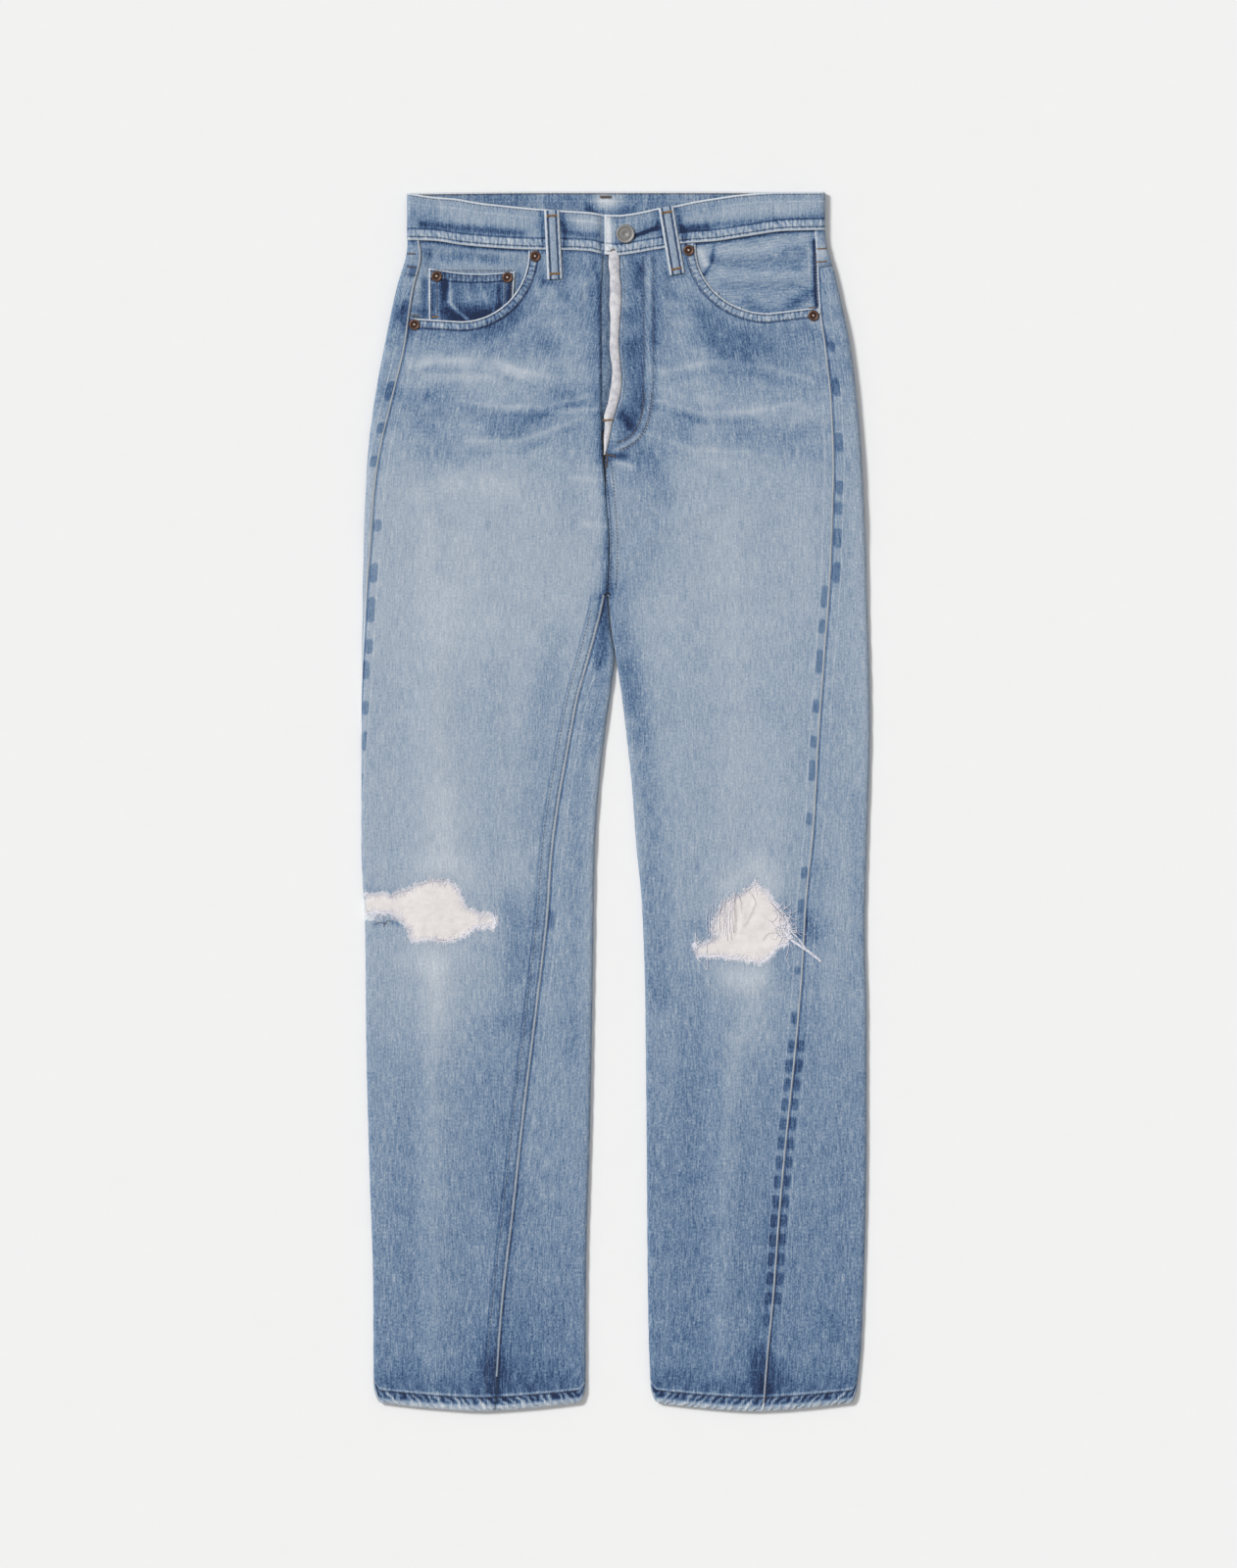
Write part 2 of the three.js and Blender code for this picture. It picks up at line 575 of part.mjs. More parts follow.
// ---- Belt loops, pockets and metal ------------------------------------------------------------------------
// A belt loop lies over the band and a little way below it. Heights come from the face that carries it.
function beltLoop(head, foot, bandFoot, faceZ, outward) {
  const [dx, dy] = [head[0] - foot[0], head[1] - foot[1]];
  const length = Math.hypot(dx, dy);
  const side = [(dy / length) * (LOOP_WIDTH / 2), (-dx / length) * (LOOP_WIDTH / 2)];
  const bandShare = (bandFoot(head[0]) - foot[1]) / dy;
  const shares = [0, Math.max(0.05, bandShare - 0.16), bandShare - 0.06, 0.6, 0.8, 1];
  const face = (thick) =>
    shares.map((share) => {
      const [x, y] = [foot[0] + share * dx, foot[1] + share * dy];
      const lying = share > bandShare - 0.1 ? BAND_PROUD + GAP : GAP;
      const z = faceZ(x, y) + outward * (lying + thick);
      return [-1, 1].map((k) => new THREE.Vector3(x + k * side[0], y + k * side[1], z));
    });
  return wall(face(LOOP_CLOTH), face(0));
}

const frontLoops = [
  ["belt_loop_front_right", [-56.2, 518.4], [-53.3, 457.6]],
  ["belt_loop_front_left", [43.9, 521.4], [54, 462]],
];
const backLoops = [
  ["belt_loop_back_right", [-118, 533], [-119, 472]],
  ["belt_loop_back_centre", [-9, 534], [-9, 473]],
  ["belt_loop_back_left", [104, 533.5], [105, 473]],
];

function backPocket(centreX, tilt) {
  const outline = [[-70, 0], [70, 0], [64, -128], [0, -150], [-64, -128]];
  const patch = prism(outline, GAP, GAP + POCKET_CLOTH).rotateZ(tilt);
  return closed(patch.translate(centreX, 424, -GAP));
}

const RIVET_H = 1.6;
function rivet() {
  const profile = [
    [0, 0], [RIVET_R, 0], [RIVET_R, 0.6], [RIVET_R - 0.7, 1.1], [2.2, 1.0], [1.5, RIVET_H], [0, RIVET_H],
  ];
  return closed(new THREE.LatheGeometry(profile.map(([r, h]) => new THREE.Vector2(r, h)), 16).rotateX(Math.PI / 2));
}

const SHANK = BAND_CLOTH + GAP;
function waistButton() {
  const profile = [
    [0, -SHANK], [2.2, -SHANK], [2.2, 0], [BUTTON_R - 0.6, 0], [BUTTON_R, 0.6], [BUTTON_R, 1.2],
    [BUTTON_R - 0.9, 1.9], [BUTTON_R - 2.2, 1.6], [2.4, 2.0], [0, 2.1],
  ];
  return closed(new THREE.LatheGeometry(profile.map(([r, h]) => new THREE.Vector2(r, h)), 24).rotateX(Math.PI / 2));
}

// ---- Assembly -----------------------------------------------------------------------------------------------
const denim = new THREE.MeshStandardMaterial({ color: 0x8a9bb5, roughness: 0.95, metalness: 0 });
const paleEdge = new THREE.MeshStandardMaterial({ color: 0xd8d3d6, roughness: 0.95, metalness: 0 });
const copper = new THREE.MeshStandardMaterial({ color: 0x8a5638, roughness: 0.45, metalness: 0.9 });
const greyMetal = new THREE.MeshStandardMaterial({ color: 0x8c8780, roughness: 0.5, metalness: 0.9 });

const jeans = new THREE.Group();
function add(name, geometry, material = denim, place = [0, 0, 0]) {
  const made = new THREE.Mesh(geometry, material);
  made.name = name;
  made.position.set(...place);
  jeans.add(made);
}

const inOrder = (rows) => rows.toSorted((a, b) => a - b);
const legRows = { right: inOrder([...LEG_ROWS, ...ROUND_THE_FOLD_ROWS]), left: LEG_ROWS };
const frontRows = (leg) => [...leg, ...SEAT_ROWS, ...FLY_ROWS, BAND_ROW];
// At the side seam the skew brings the last four of these rows level with the fronts' own rows.
const backRows = (leg) => [...leg, ...SEAT_ROWS, 304, 325, 347, 364.7, 386.3, 404.2, 430 - GAP];
const yokeRows = [430, 452, 472, BAND_ROW];
// The back panels' top edge and the yokes' lower edge both follow the yoke seam.
const toYoke = (x, y) => (yokeSeam(x) - 430) * smoothStep(345, 430 - GAP, y);
const fromYoke = (x, y) => (yokeSeam(x) - 430) * (1 - smoothStep(430, BAND_ROW, y));

const frontRightWhole = panel(right, frontRows(legRows.right), frontRightLimits, ["backFromOuter", "outerFold", "front"]);
const frontRightOpen = subtract(frontRightWhole, closed(prism(mouthRight, -10, 30)));
add("front_right", subtract(frontRightOpen, closed(prism(ripRight, RIP_FLOOR_Z, 30))));
const frontLeftWhole = panel(left, frontRows(legRows.left), frontLeftLimits, ["front", "innerFold", "backFromInner"]);
const frontLeftOpen = subtract(frontLeftWhole, closed(prism(mouthLeft, -10, 30)));
add("front_left", subtract(frontLeftOpen, closed(prism(ripLeft, RIP_FLOOR_Z, 30))));

const rightBackKinds = ["frontFromBack", "innerFoldFromBack", "back", "outerFold"];
add("back_right", panel(right, backRows(legRows.right), backRightLimits, rightBackKinds, toYoke));
const leftBackKinds = ["innerFoldFromBack", "back", "outerFold", "front"];
add("back_left", panel(left, backRows(legRows.left), backLeftLimits, leftBackKinds, toYoke));
add("yoke_right", panel(right, yokeRows, backRightLimits, ["back", "outerFold"], fromYoke));
add("yoke_left", panel(left, yokeRows, backLeftLimits, ["back", "outerFold"], fromYoke));

add("waistband", buttonhole().reduce((band, tool) => subtract(band, tool), waistband()));
add("pocket_facing_right", facingRight());
add("pocket_facing_left", facingLeft());
add("coin_pocket", coinPocket());
add("fly_facing", flyFacing(), paleEdge);
add("fly_extension", flyExtension());
add("back_pocket_right", backPocket(-112, 0.12));
add("back_pocket_left", backPocket(94, -0.12));

for (const [name, head, foot] of frontLoops) add(name, beltLoop(head, foot, bandFootFront, frontZ, 1));
for (const [name, head, foot] of backLoops) add(name, beltLoop(head, foot, bandFootBack, () => SEAT_LIFT, -1));

const onFront = GAP;
const onCoinPocket = GAP - CLOTH - GAP;
const rivets = [
  ["rivet_coin_inner", [-95, 459.5], onCoinPocket],
  ["rivet_coin_outer", [-157, 460.5], onCoinPocket],
  ["rivet_mouth_right_top", [-70.6, 478], onFront],
  ["rivet_mouth_right_side", [-176.5, 418], onFront],
  ["rivet_mouth_left_top", [64, 483.2], onFront],
  ["rivet_mouth_left_side", [173.4, 425.9], onFront],
];
for (const [name, [x, y], out] of rivets) add(name, rivet(), copper, [x, y, frontZ(x, y) + out]);
const buttonZ = frontZ(...BUTTON_AT) + BAND_PROUD + GAP;
add("waist_button", waistButton(), greyMetal, [...BUTTON_AT, buttonZ]);

export default jeans;
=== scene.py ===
# %% [markdown]
# # Ripped jeans, laid flat
# The subject is a worn pair of five-pocket denim jeans lying on its back on a pale floor.
# On the real thing every panel is one cut of heavy cloth, sewn to the next along its edges.
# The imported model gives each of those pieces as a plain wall, and this lesson replaces each wall with a
# finer sheet of the same form, then adds stitches, worn edges, rips, threads and metal.

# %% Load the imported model
import math
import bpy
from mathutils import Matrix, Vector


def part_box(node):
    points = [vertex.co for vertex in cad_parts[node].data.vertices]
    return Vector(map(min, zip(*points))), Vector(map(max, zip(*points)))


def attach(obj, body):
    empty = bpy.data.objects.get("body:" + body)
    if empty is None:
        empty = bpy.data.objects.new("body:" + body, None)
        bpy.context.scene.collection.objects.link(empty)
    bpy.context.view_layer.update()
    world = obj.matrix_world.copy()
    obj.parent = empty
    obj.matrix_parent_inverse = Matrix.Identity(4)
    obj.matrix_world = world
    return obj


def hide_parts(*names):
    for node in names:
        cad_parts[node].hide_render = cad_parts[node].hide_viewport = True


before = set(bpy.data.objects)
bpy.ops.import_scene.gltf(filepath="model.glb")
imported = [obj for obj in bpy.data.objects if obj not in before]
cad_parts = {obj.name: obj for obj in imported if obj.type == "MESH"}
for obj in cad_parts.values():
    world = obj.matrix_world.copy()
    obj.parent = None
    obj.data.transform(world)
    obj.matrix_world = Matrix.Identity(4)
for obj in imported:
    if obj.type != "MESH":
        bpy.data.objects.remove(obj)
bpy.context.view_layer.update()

from types import SimpleNamespace

import bmesh
import bpy
import numpy as np
from mathutils import Matrix, Vector, noise

mm = 0.001

# %% [markdown]
# ## Smooth outlines
# A pattern cutter describes an edge by a few marks and draws a fair curve through them.
# `smooth_line` does the same: it takes marks in millimetres and gives a function in metres.
# The slopes are harmonic means, so the curve never swings past a mark.

# %% Curves through marks
def smooth_line(*marks):
    at, value = np.array(marks, float).T * mm
    slope = np.diff(value) / np.diff(at)
    before, after = slope[:-1], slope[1:]
    agree = before * after > 0
    lean = np.where(agree, 2 * before * after / np.where(agree, before + after, 1), 0)
    lean = np.concatenate([slope[:1], lean, slope[-1:]])

    def value_at(place):
        place = np.clip(place, at[0], at[-1])
        i = np.clip(np.searchsorted(at, place) - 1, 0, len(at) - 2)
        h = at[i + 1] - at[i]
        t = (place - at[i]) / h
        start = (1 + 2 * t) * (1 - t) ** 2 * value[i] + t * (1 - t) ** 2 * h * lean[i]
        return start + t * t * (3 - 2 * t) * value[i + 1] + t * t * (t - 1) * h * lean[i + 1]

    return value_at


def smooth_step(low, high, at):
    t = np.clip((at - low) / (high - low), 0, 1)
    return t * t * (3 - 2 * t)


# %% [markdown]
# ## The outline of the garment
# These are the same marks as the solids have. "right" is the wearer's right leg, at negative x.
# Washing has twisted the legs, so the side seams wander round them on their way down.

# %% Cloth, gaps and heights
CLOTH = 1.2 * mm
GAP = 0.3 * mm
HEM_Y = -535 * mm
HEM_DEPTH = 12 * mm
CROTCH_Y = 182 * mm
SEAT_TOP_Y = 492 * mm
BAND_ROW = SEAT_TOP_Y - GAP
BAND_Y = 513.5 * mm
BAND_PROUD = 0.6 * mm
BAND_CLOTH = 2.4 * mm
SEAT_LIFT = 2.1 * mm
print("seat", SEAT_TOP_Y - HEM_Y, "m above the hems")

# %% Folds at the sides
outer_right = smooth_line(
    (-535, -212.5), (-430, -212.9), (-320, -216.3), (-217, -218.9), (-110, -220), (-40, -223.3),
    (20, -223.3), (170, -222.3), (247, -220.6), (299, -218), (350, -212), (402, -202.5), (450, -192.5),
    (487, -183), (535, -182.5))
outer_left = smooth_line(
    (-535, 212), (-475, 215.5), (-425, 217.5), (-372, 219), (-295, 220.2), (-190, 220.2), (-115, 218.6),
    (-37, 220.5), (66, 223.3), (170, 221), (247, 218.6), (299, 216), (350, 212), (402, 205.5),
    (453, 194), (488, 184), (535, 182.5))
rise_line = smooth_line(
    (182, -7.2), (199, -6.6), (225, -5.8), (273, -9), (310, -12), (324, -12.7), (445, -13.1), (478, -12),
    (520, -11))
fold_right = smooth_line(
    (-535, -26.4), (-425, -26), (-270, -22), (-165, -20.2), (-60, -18.7), (-25, -17.3), (15, -14.3),
    (66, -8.4), (100, -3.6), (128, -0.9), (152, -4.6), (182, -7.2))
fold_left = smooth_line(
    (-535, 30.5), (-425, 28), (-270, 26.8), (-165, 25.6), (-90, 22.8), (-37, 17.8), (15, 14), (66, 8.4),
    (100, 4.2), (128, -0.4), (152, -4.2), (182, -6.8))

# %% Side seams and inseams
outseam_right_along = smooth_line(
    (-535, -66), (-400, -55), (-250, -38), (-100, -18), (0, -7), (80, 0), (126, 2.5), (173, 5), (221, 8),
    (272, 10), (311, 13), (347, 17), (394, 20), (438, 17.5), (470, 16), (492, 12))
outseam_left_x = smooth_line(
    (-535, 130), (-490, 133.5), (-430, 139.3), (-371, 143.5), (-303, 149.5), (-233, 156.8), (-151, 164),
    (-90, 167.4), (-24, 174), (60, 178.8), (125, 183.5), (200, 188.8), (257, 190.8), (291, 191.7),
    (348, 189.7), (397, 184.6), (439, 179), (483, 176.5), (500, 175))
inseam_right_x = smooth_line(
    (-535, -105.5), (-455, -100.2), (-351, -88.5), (-261, -78.6), (-173, -67.7), (-91, -58.5),
    (-54, -56.2), (-5, -50.2), (34, -43.5), (63, -38.3), (93, -32.4), (114, -26.5), (145, -18),
    (172, -11.5), (182, -9.9))
inseam_left_wrap = smooth_line(
    (-535, 84), (-400, 72), (-250, 56), (-100, 38), (0, 26), (66, 16), (128, 7.9), (155, 4), (182, 0))

# %% Waistband, yokes and fly
band_foot_front = smooth_line(
    (-183, 492.5), (-160, 491.7), (-134, 488), (-108, 485.7), (-77, 484), (-46, 483.6), (-23, 482.6),
    (-9.5, 479.7), (0, 478.8), (12.5, 480.1), (30, 483.2), (42, 485.2), (58, 489.2), (85, 491.2),
    (114, 495.5), (150, 500.4), (183, 501.2))
band_head_front = smooth_line(
    (-183, 533.8), (-160, 530.2), (-141, 528.7), (-121, 525.2), (-99, 522.7), (-68, 519.7), (-47, 518.2),
    (-23, 516.7), (-10, 514.7), (2, 514.2), (12, 515.2), (25, 517.5), (37, 520.2), (54, 522.7),
    (65, 525.2), (85, 528.7), (114, 532.6), (144, 534.4), (183, 534.6))
band_foot_back = smooth_line((-183, 492.5), (0, 495), (183, 501.2))
band_head_back = smooth_line((-183, 533.8), (-60, 535), (60, 535), (183, 534.6))
yoke_seam = smooth_line((-205, 464), (-190, 462), (-9, 430), (172, 462), (190, 464))
fly_edge = smooth_line(
    (182, -6.8), (225, -5.4), (273, -8.6), (300, -9), (316, -5.5), (332, -2.6), (345, 1.3), (357, 4.3),
    (369, 5.6), (402, 3.2), (445, 5.4), (478, 3.8), (520, 3.8))
roll_edge = smooth_line(
    (300, -11.4), (310, -10.6), (331, -9.6), (336, -10.3), (347, -7.7), (357, -6.1), (369, -3.4),
    (380, -3), (402, -6), (410, -5.1), (445, -5), (478, -6))

# %% [markdown]
# ## A flattened tube of cloth
# Lying flat, a leg is a tube pressed to a few millimetres: a fold down each side and two flat faces.
# A place on it is a distance round from the outer fold (positive over the front, negative under the back)
# and a height. `tube_point` turns such places into points, for whole arrays at once.
# Relief that only the visible sheets have, such as drag lines, is added by `soft_relief`.

# %% Legs as tubes
right = SimpleNamespace(
    outer=outer_right, inner=lambda y: np.where(y > CROTCH_Y, rise_line(y), fold_right(y)),
    inward=1, crease_at=0.28, crease_top=190 * mm)
left = SimpleNamespace(
    outer=outer_left, inner=lambda y: np.where(y > CROTCH_Y, rise_line(y) + GAP, fold_left(y)),
    inward=-1, crease_at=0.65, crease_top=-150 * mm)


def top_z(y):
    return (5 + 3 * smooth_step(150 * mm, 290 * mm, y)) * mm


def lift_z(y):
    return SEAT_LIFT * smooth_step(200 * mm, 240 * mm, y)


def tube_size(leg, y):
    """The outer fold's x, the width, the radius of the folds, a quarter turn of it, and the flat between."""
    outer = leg.outer(y)
    width = np.abs(leg.inner(y) - outer)
    radius = (top_z(y) - lift_z(y)) / 2
    return outer, width, radius, math.pi * radius / 2, width - 2 * radius


def swell(leg, share, y):
    over_seat = smooth_step(185 * mm, 270 * mm, y)
    height = (0.8 + 0.4 * over_seat) * mm
    crown = height * (1 - (1 - share) ** 3) * (1 - (1 - over_seat) * share**3)
    ends = smooth_step(HEM_Y, HEM_Y + 80 * mm, y)
    ends = ends * (1 - smooth_step(leg.crease_top - 80 * mm, leg.crease_top, y))
    return crown + 0.8 * mm * ends * np.exp(-(((share - leg.crease_at) / 0.075) ** 2))


def hem_rise(across, width):
    side = np.clip(np.minimum(across, width - across), 0, None)
    corner = np.where(side < 6 * mm, 12 * mm * (1 - side / (6 * mm)) ** 2, 0)
    return 8 * mm * np.abs(2 * across / width - 1) ** 1.5 + corner


def tube_point(leg, along, y, out=0.0, relief=None):
    along, y = np.broadcast_arrays(np.asarray(along, float), np.asarray(y, float))
    outer, width, radius, quarter, flat = tube_size(leg, y)
    q = np.abs(along)
    first, second = q / radius, (q - quarter - flat) / radius
    where = [q <= quarter, (y > CROTCH_Y) | (q <= quarter + flat), q <= 3 * quarter + flat]
    across = np.select(
        where,
        [radius * (1 - np.cos(first)), radius + q - quarter, width - radius + radius * np.sin(second)],
        width - radius - (q - 3 * quarter - flat))
    up = np.select(where, [radius * np.sin(first), radius, radius * np.cos(second)], -radius)
    lean_across = np.select(where, [-np.cos(first), 0 * q, np.sin(second)], 0)
    lean_up = np.select(where, [np.sin(first), 0 * q + 1, np.cos(second)], -1)
    side = np.where(along < 0, -1, 1)
    up, lean_up = up * side, lean_up * side
    x = outer + leg.inward * (across + lean_across * out)
    share = np.clip((across - radius) / flat, 0, 1)
    facing = np.clip(up / radius, 0, 1)
    z = (top_z(y) + lift_z(y)) / 2 + up + lean_up * out + swell(leg, share, y) * facing
    edge = np.where(along < 0, band_foot_back(x), band_foot_front(x))
    waist = (edge - SEAT_TOP_Y) * smooth_step(430 * mm, SEAT_TOP_Y, y)
    hem = hem_rise(across, width) * (1 - smooth_step(HEM_Y, HEM_Y + 60 * mm, y))
    real_y = y + waist + hem
    if relief is not None:
        z = z + relief(x, real_y) * facing
    return np.stack([x, real_y, z], -1), facing


def along_at(leg, x, y):
    outer, _, radius, quarter, _ = tube_size(leg, np.asarray(y, float))
    across = np.abs(x - outer)
    bend = radius * np.arccos(np.clip(1 - across / radius, -1, 1))
    return np.where(across >= radius, quarter + across - radius, bend)


def front_point(x, y, out=0.0, relief=None):
    x, y = np.broadcast_arrays(np.asarray(x, float), np.asarray(y, float))
    on_right = tube_point(right, along_at(right, x, y), y, out, relief)[0]
    on_left = tube_point(left, along_at(left, x, y), y, out, relief)[0]
    return np.where((x < rise_line(y))[..., None], on_right, on_left)


# %% [markdown]
# ## Brushes
# Fading, whiskers and drag lines are placed as soft strokes.
# A stroke is a strength, a half-width in millimetres and the marks it runs through.
# One function finds the nearest place on a path, and the strokes, the stitched bands and the cut
# edges all use it.

# %% Nearest place on a path, and soft strokes
def nearest_on(path, x, y):
    best = np.full(x.shape, 9.0)
    run, near_x, near_y, so_far = best * 0, best * 0, best * 0, 0.0
    for (x0, y0), (x1, y1) in zip(path[:-1], path[1:]):
        dx, dy = x1 - x0, y1 - y0
        length = math.hypot(dx, dy)
        t = np.clip(((x - x0) * dx + (y - y0) * dy) / length**2, 0, 1)
        px, py = x0 + t * dx, y0 + t * dy
        far = np.hypot(x - px, y - py)
        closer = far < best
        best = np.where(closer, far, best)
        run = np.where(closer, so_far + t * length, run)
        near_x, near_y = np.where(closer, px, near_x), np.where(closer, py, near_y)
        so_far += length
    return best, run, near_x, near_y


def brush(x, y, strokes):
    total = np.zeros(np.shape(x))
    for strength, width, *marks in strokes:
        path = np.array(marks, float) * mm
        if len(path) == 1:
            far = np.hypot(x - path[0, 0], y - path[0, 1])
        else:
            far = nearest_on(path, x, y)[0]
        total += strength * np.exp(-((far / (width * mm)) ** 2))
    return total


def inside(path, x, y):
    odd = np.zeros(x.shape, bool)
    for (x0, y0), (x1, y1) in zip(path, np.roll(path, -1, 0)):
        crosses = (y0 > y) != (y1 > y)
        odd ^= crosses & (x < (x1 - x0) * (y - y0) / (y1 - y0 + 1e-12) + x0)
    return odd


def cloud(x, y, size, seed):
    points = zip(x.ravel() / size, y.ravel() / size)
    return np.array([noise.noise(Vector((a, b, seed))) for a, b in points]).reshape(x.shape)


# %% [markdown]
# ## Drag lines and creases
# Cloth that has been worn keeps some of its shape when it is laid down: radiating lines at the crotch,
# short puckers under the waistband where the seam has shrunk, and shallow waves down the legs.
# Heights are in tenths of a millimetre at the deepest, because the garment lies flat.

# %% Relief of the front
drag_lines = [
    (0.5, 5, (-12, 200), (-60, 240), (-120, 262)), (-0.35, 6, (-12, 214), (-60, 256), (-110, 280)),
    (0.5, 5, (-4, 205), (40, 240), (96, 262)), (-0.35, 6, (0, 222), (50, 262), (110, 285)),
    (0.45, 6, (-200, 350), (-150, 340), (-110, 345)), (-0.4, 7, (-200, 366), (-140, 356), (-90, 362)),
    (0.45, 8, (-190, 384), (-120, 376), (-64, 372)), (0.4, 8, (-170, 318), (-110, 322), (-50, 338)),
    (0.4, 8, (190, 340), (130, 332), (66, 344)), (-0.4, 7, (186, 374), (130, 380), (90, 392)),
    (0.35, 8, (186, 300), (120, 306), (40, 330)), (-0.3, 8, (176, 402), (120, 408), (84, 424)),
    (0.5, 7, (-216, -60), (-180, -56), (-140, -60)), (-0.4, 8, (-214, -46), (-160, -40), (-120, -48)),
    (0.45, 6, (-128, -108), (-92, -118), (-70, -122)), (0.45, 8, (-200, -140), (-160, -150), (-120, -144)),
    (0.5, 7, (84, -62), (122, -56), (160, -66)), (-0.4, 7, (76, -46), (122, -40), (160, -50)),
    (0.5, 7, (74, -158), (110, -162), (150, -152)), (-0.35, 7, (70, -174), (112, -180), (150, -170)),
    (0.5, 9, (-110, 150), (-104, 20), (-112, -60)), (-0.4, 12, (-190, 150), (-194, 0), (-196, -60)),
    (0.4, 12, (60, 200), (64, 60), (60, -60)), (0.4, 12, (140, 180), (146, 40), (142, -50)),
    (-0.4, 9, (-130, -190), (-126, -330), (-130, -500)), (0.35, 9, (-186, -180), (-188, -330), (-184, -500)),
    (-0.4, 9, (76, -190), (72, -330), (78, -500)), (0.35, 9, (190, -120), (192, -300), (186, -480)),
    (0.5, 4, (-40, 474), (-34, 452), (-30, 428)), (0.5, 4, (-24, 470), (-30, 448), (-44, 430)),
    (0.5, 4, (40, 470), (42, 440), (40, 400)), (-0.4, 4, (48, 452), (54, 430), (60, 400)),
]
puckers_under_band = [
    (0.35, 2.6, (x, 482 + 0.03 * abs(x)), (x + 2, 468 + 0.03 * abs(x)))
    for x in (-68, -58, -38, -24, 22, 34, 46, 60)]
puckers_beside_seam = [
    (0.3, 2.6, (x, y), (x + 9, y + 2))
    for x, y in ((-34, 110), (-44, 66), (-52, 18), (-58, -28), (-84, -252))]


def soft_relief(x, y):
    placed = brush(x, y, drag_lines + puckers_under_band + puckers_beside_seam) * mm
    return 0.8 * placed + 0.28 * mm * cloud(x, y, 26 * mm, 3.0) + 0.12 * mm * cloud(x, y, 8 * mm, 7.0)


# %% [markdown]
# ## How the indigo has faded
# Each sheet stores a `tone`: how light the cloth is, from 0.3 for unfaded indigo to 0.9 for bare yarn.
# It starts from a fade down each leg, and strokes add the whiskers over the hips, the pale streak along
# each crease, the pale knees and the dark squares where a seam's turnings kept the cloth from rubbing.
# Other strokes paint shade into the tone: in the folds, beside and under the fly, at the hems, under the
# waistband and round the belt loops.

# %% Fade down the legs
def tone_line(*marks):
    """A curve of tone over height; `smooth_line` reads millimetres, so the tone is scaled up first."""
    return smooth_line(*[(y, tone / mm) for y, tone in marks])


fade_right = tone_line(
    (-535, 0.44), (-515, 0.46), (-495, 0.5), (-460, 0.525), (-390, 0.54), (-320, 0.565), (-250, 0.585),
    (-205, 0.615), (-160, 0.645), (-110, 0.66), (-20, 0.665), (100, 0.67), (170, 0.69), (240, 0.685),
    (280, 0.67), (310, 0.635), (345, 0.61), (380, 0.615), (415, 0.56), (450, 0.55), (492, 0.56))
fade_left = tone_line(
    (-535, 0.43), (-515, 0.455), (-495, 0.485), (-460, 0.5), (-390, 0.51), (-320, 0.53), (-250, 0.55),
    (-205, 0.575), (-160, 0.615), (-110, 0.64), (-20, 0.645), (100, 0.65), (170, 0.665), (240, 0.665),
    (280, 0.655), (310, 0.625), (345, 0.61), (380, 0.585), (415, 0.56), (450, 0.57), (492, 0.575))

# %% Whiskers over the hips, and the shade beside and under the fly
whiskers = [
    (0.08, 2.2, (-24, 356), (-64, 346), (-104, 346), (-140, 352)),
    (0.07, 2.2, (-30, 336), (-84, 316), (-130, 316)),
    (0.055, 2.4, (-60, 372), (-110, 386), (-160, 386), (-196, 376)),
    (-0.07, 2.6, (-28, 350), (-68, 339), (-108, 338)), (-0.06, 2.6, (-70, 364), (-116, 377), (-166, 378)),
    (0.06, 2.2, (-84, 416), (-66, 430), (-58, 446)),
    (0.07, 2.2, (36, 352), (76, 340), (120, 342), (160, 350)),
    (-0.06, 2.6, (34, 345), (78, 332), (122, 334)),
    (0.07, 2.2, (40, 376), (84, 386), (130, 382), (176, 368)),
    (-0.06, 2.6, (44, 368), (88, 377), (132, 373)), (0.06, 2.2, (30, 322), (70, 308), (116, 306)),
    (-0.05, 2.6, (-34, 328), (-84, 307), (-126, 306)), (0.05, 10, (-195, 386), (-130, 378), (-62, 370)),
    (-0.055, 9, (-206, 350), (-168, 342), (-130, 348)), (-0.06, 10, (-104, 322), (-72, 338), (-42, 352)),
    (0.05, 12, (-170, 272), (-130, 280), (-96, 276)), (-0.06, 8, (-165, 409), (-118, 412), (-88, 424)),
    (-0.06, 10, (-110, 414), (-82, 440), (-76, 460)), (-0.03, 9, (-150, 314), (-110, 322), (-84, 316)),
    (0.03, 8, (-190, 366), (-140, 362), (-100, 352)), (-0.09, 12, (72, 428), (92, 410), (124, 402)),
    (-0.04, 8, (120, 380), (150, 372), (186, 366)), (-0.04, 10, (96, 386), (130, 392), (160, 390)),
    (0.03, 10, (60, 352), (110, 342), (170, 338)), (-0.05, 14, (18, 300), (44, 322), (60, 330)),
    (0.03, 12, (70, 376), (74, 350), (80, 330)), (-0.03, 8, (90, 322), (140, 312), (180, 304)),
    (0.03, 12, (46, 440), (62, 400), (66, 372)), (0.04, 9, (-56, 440), (-44, 410), (-36, 380)),
    (-0.03, 8, (-100, 394), (-60, 400), (-30, 390)),
]
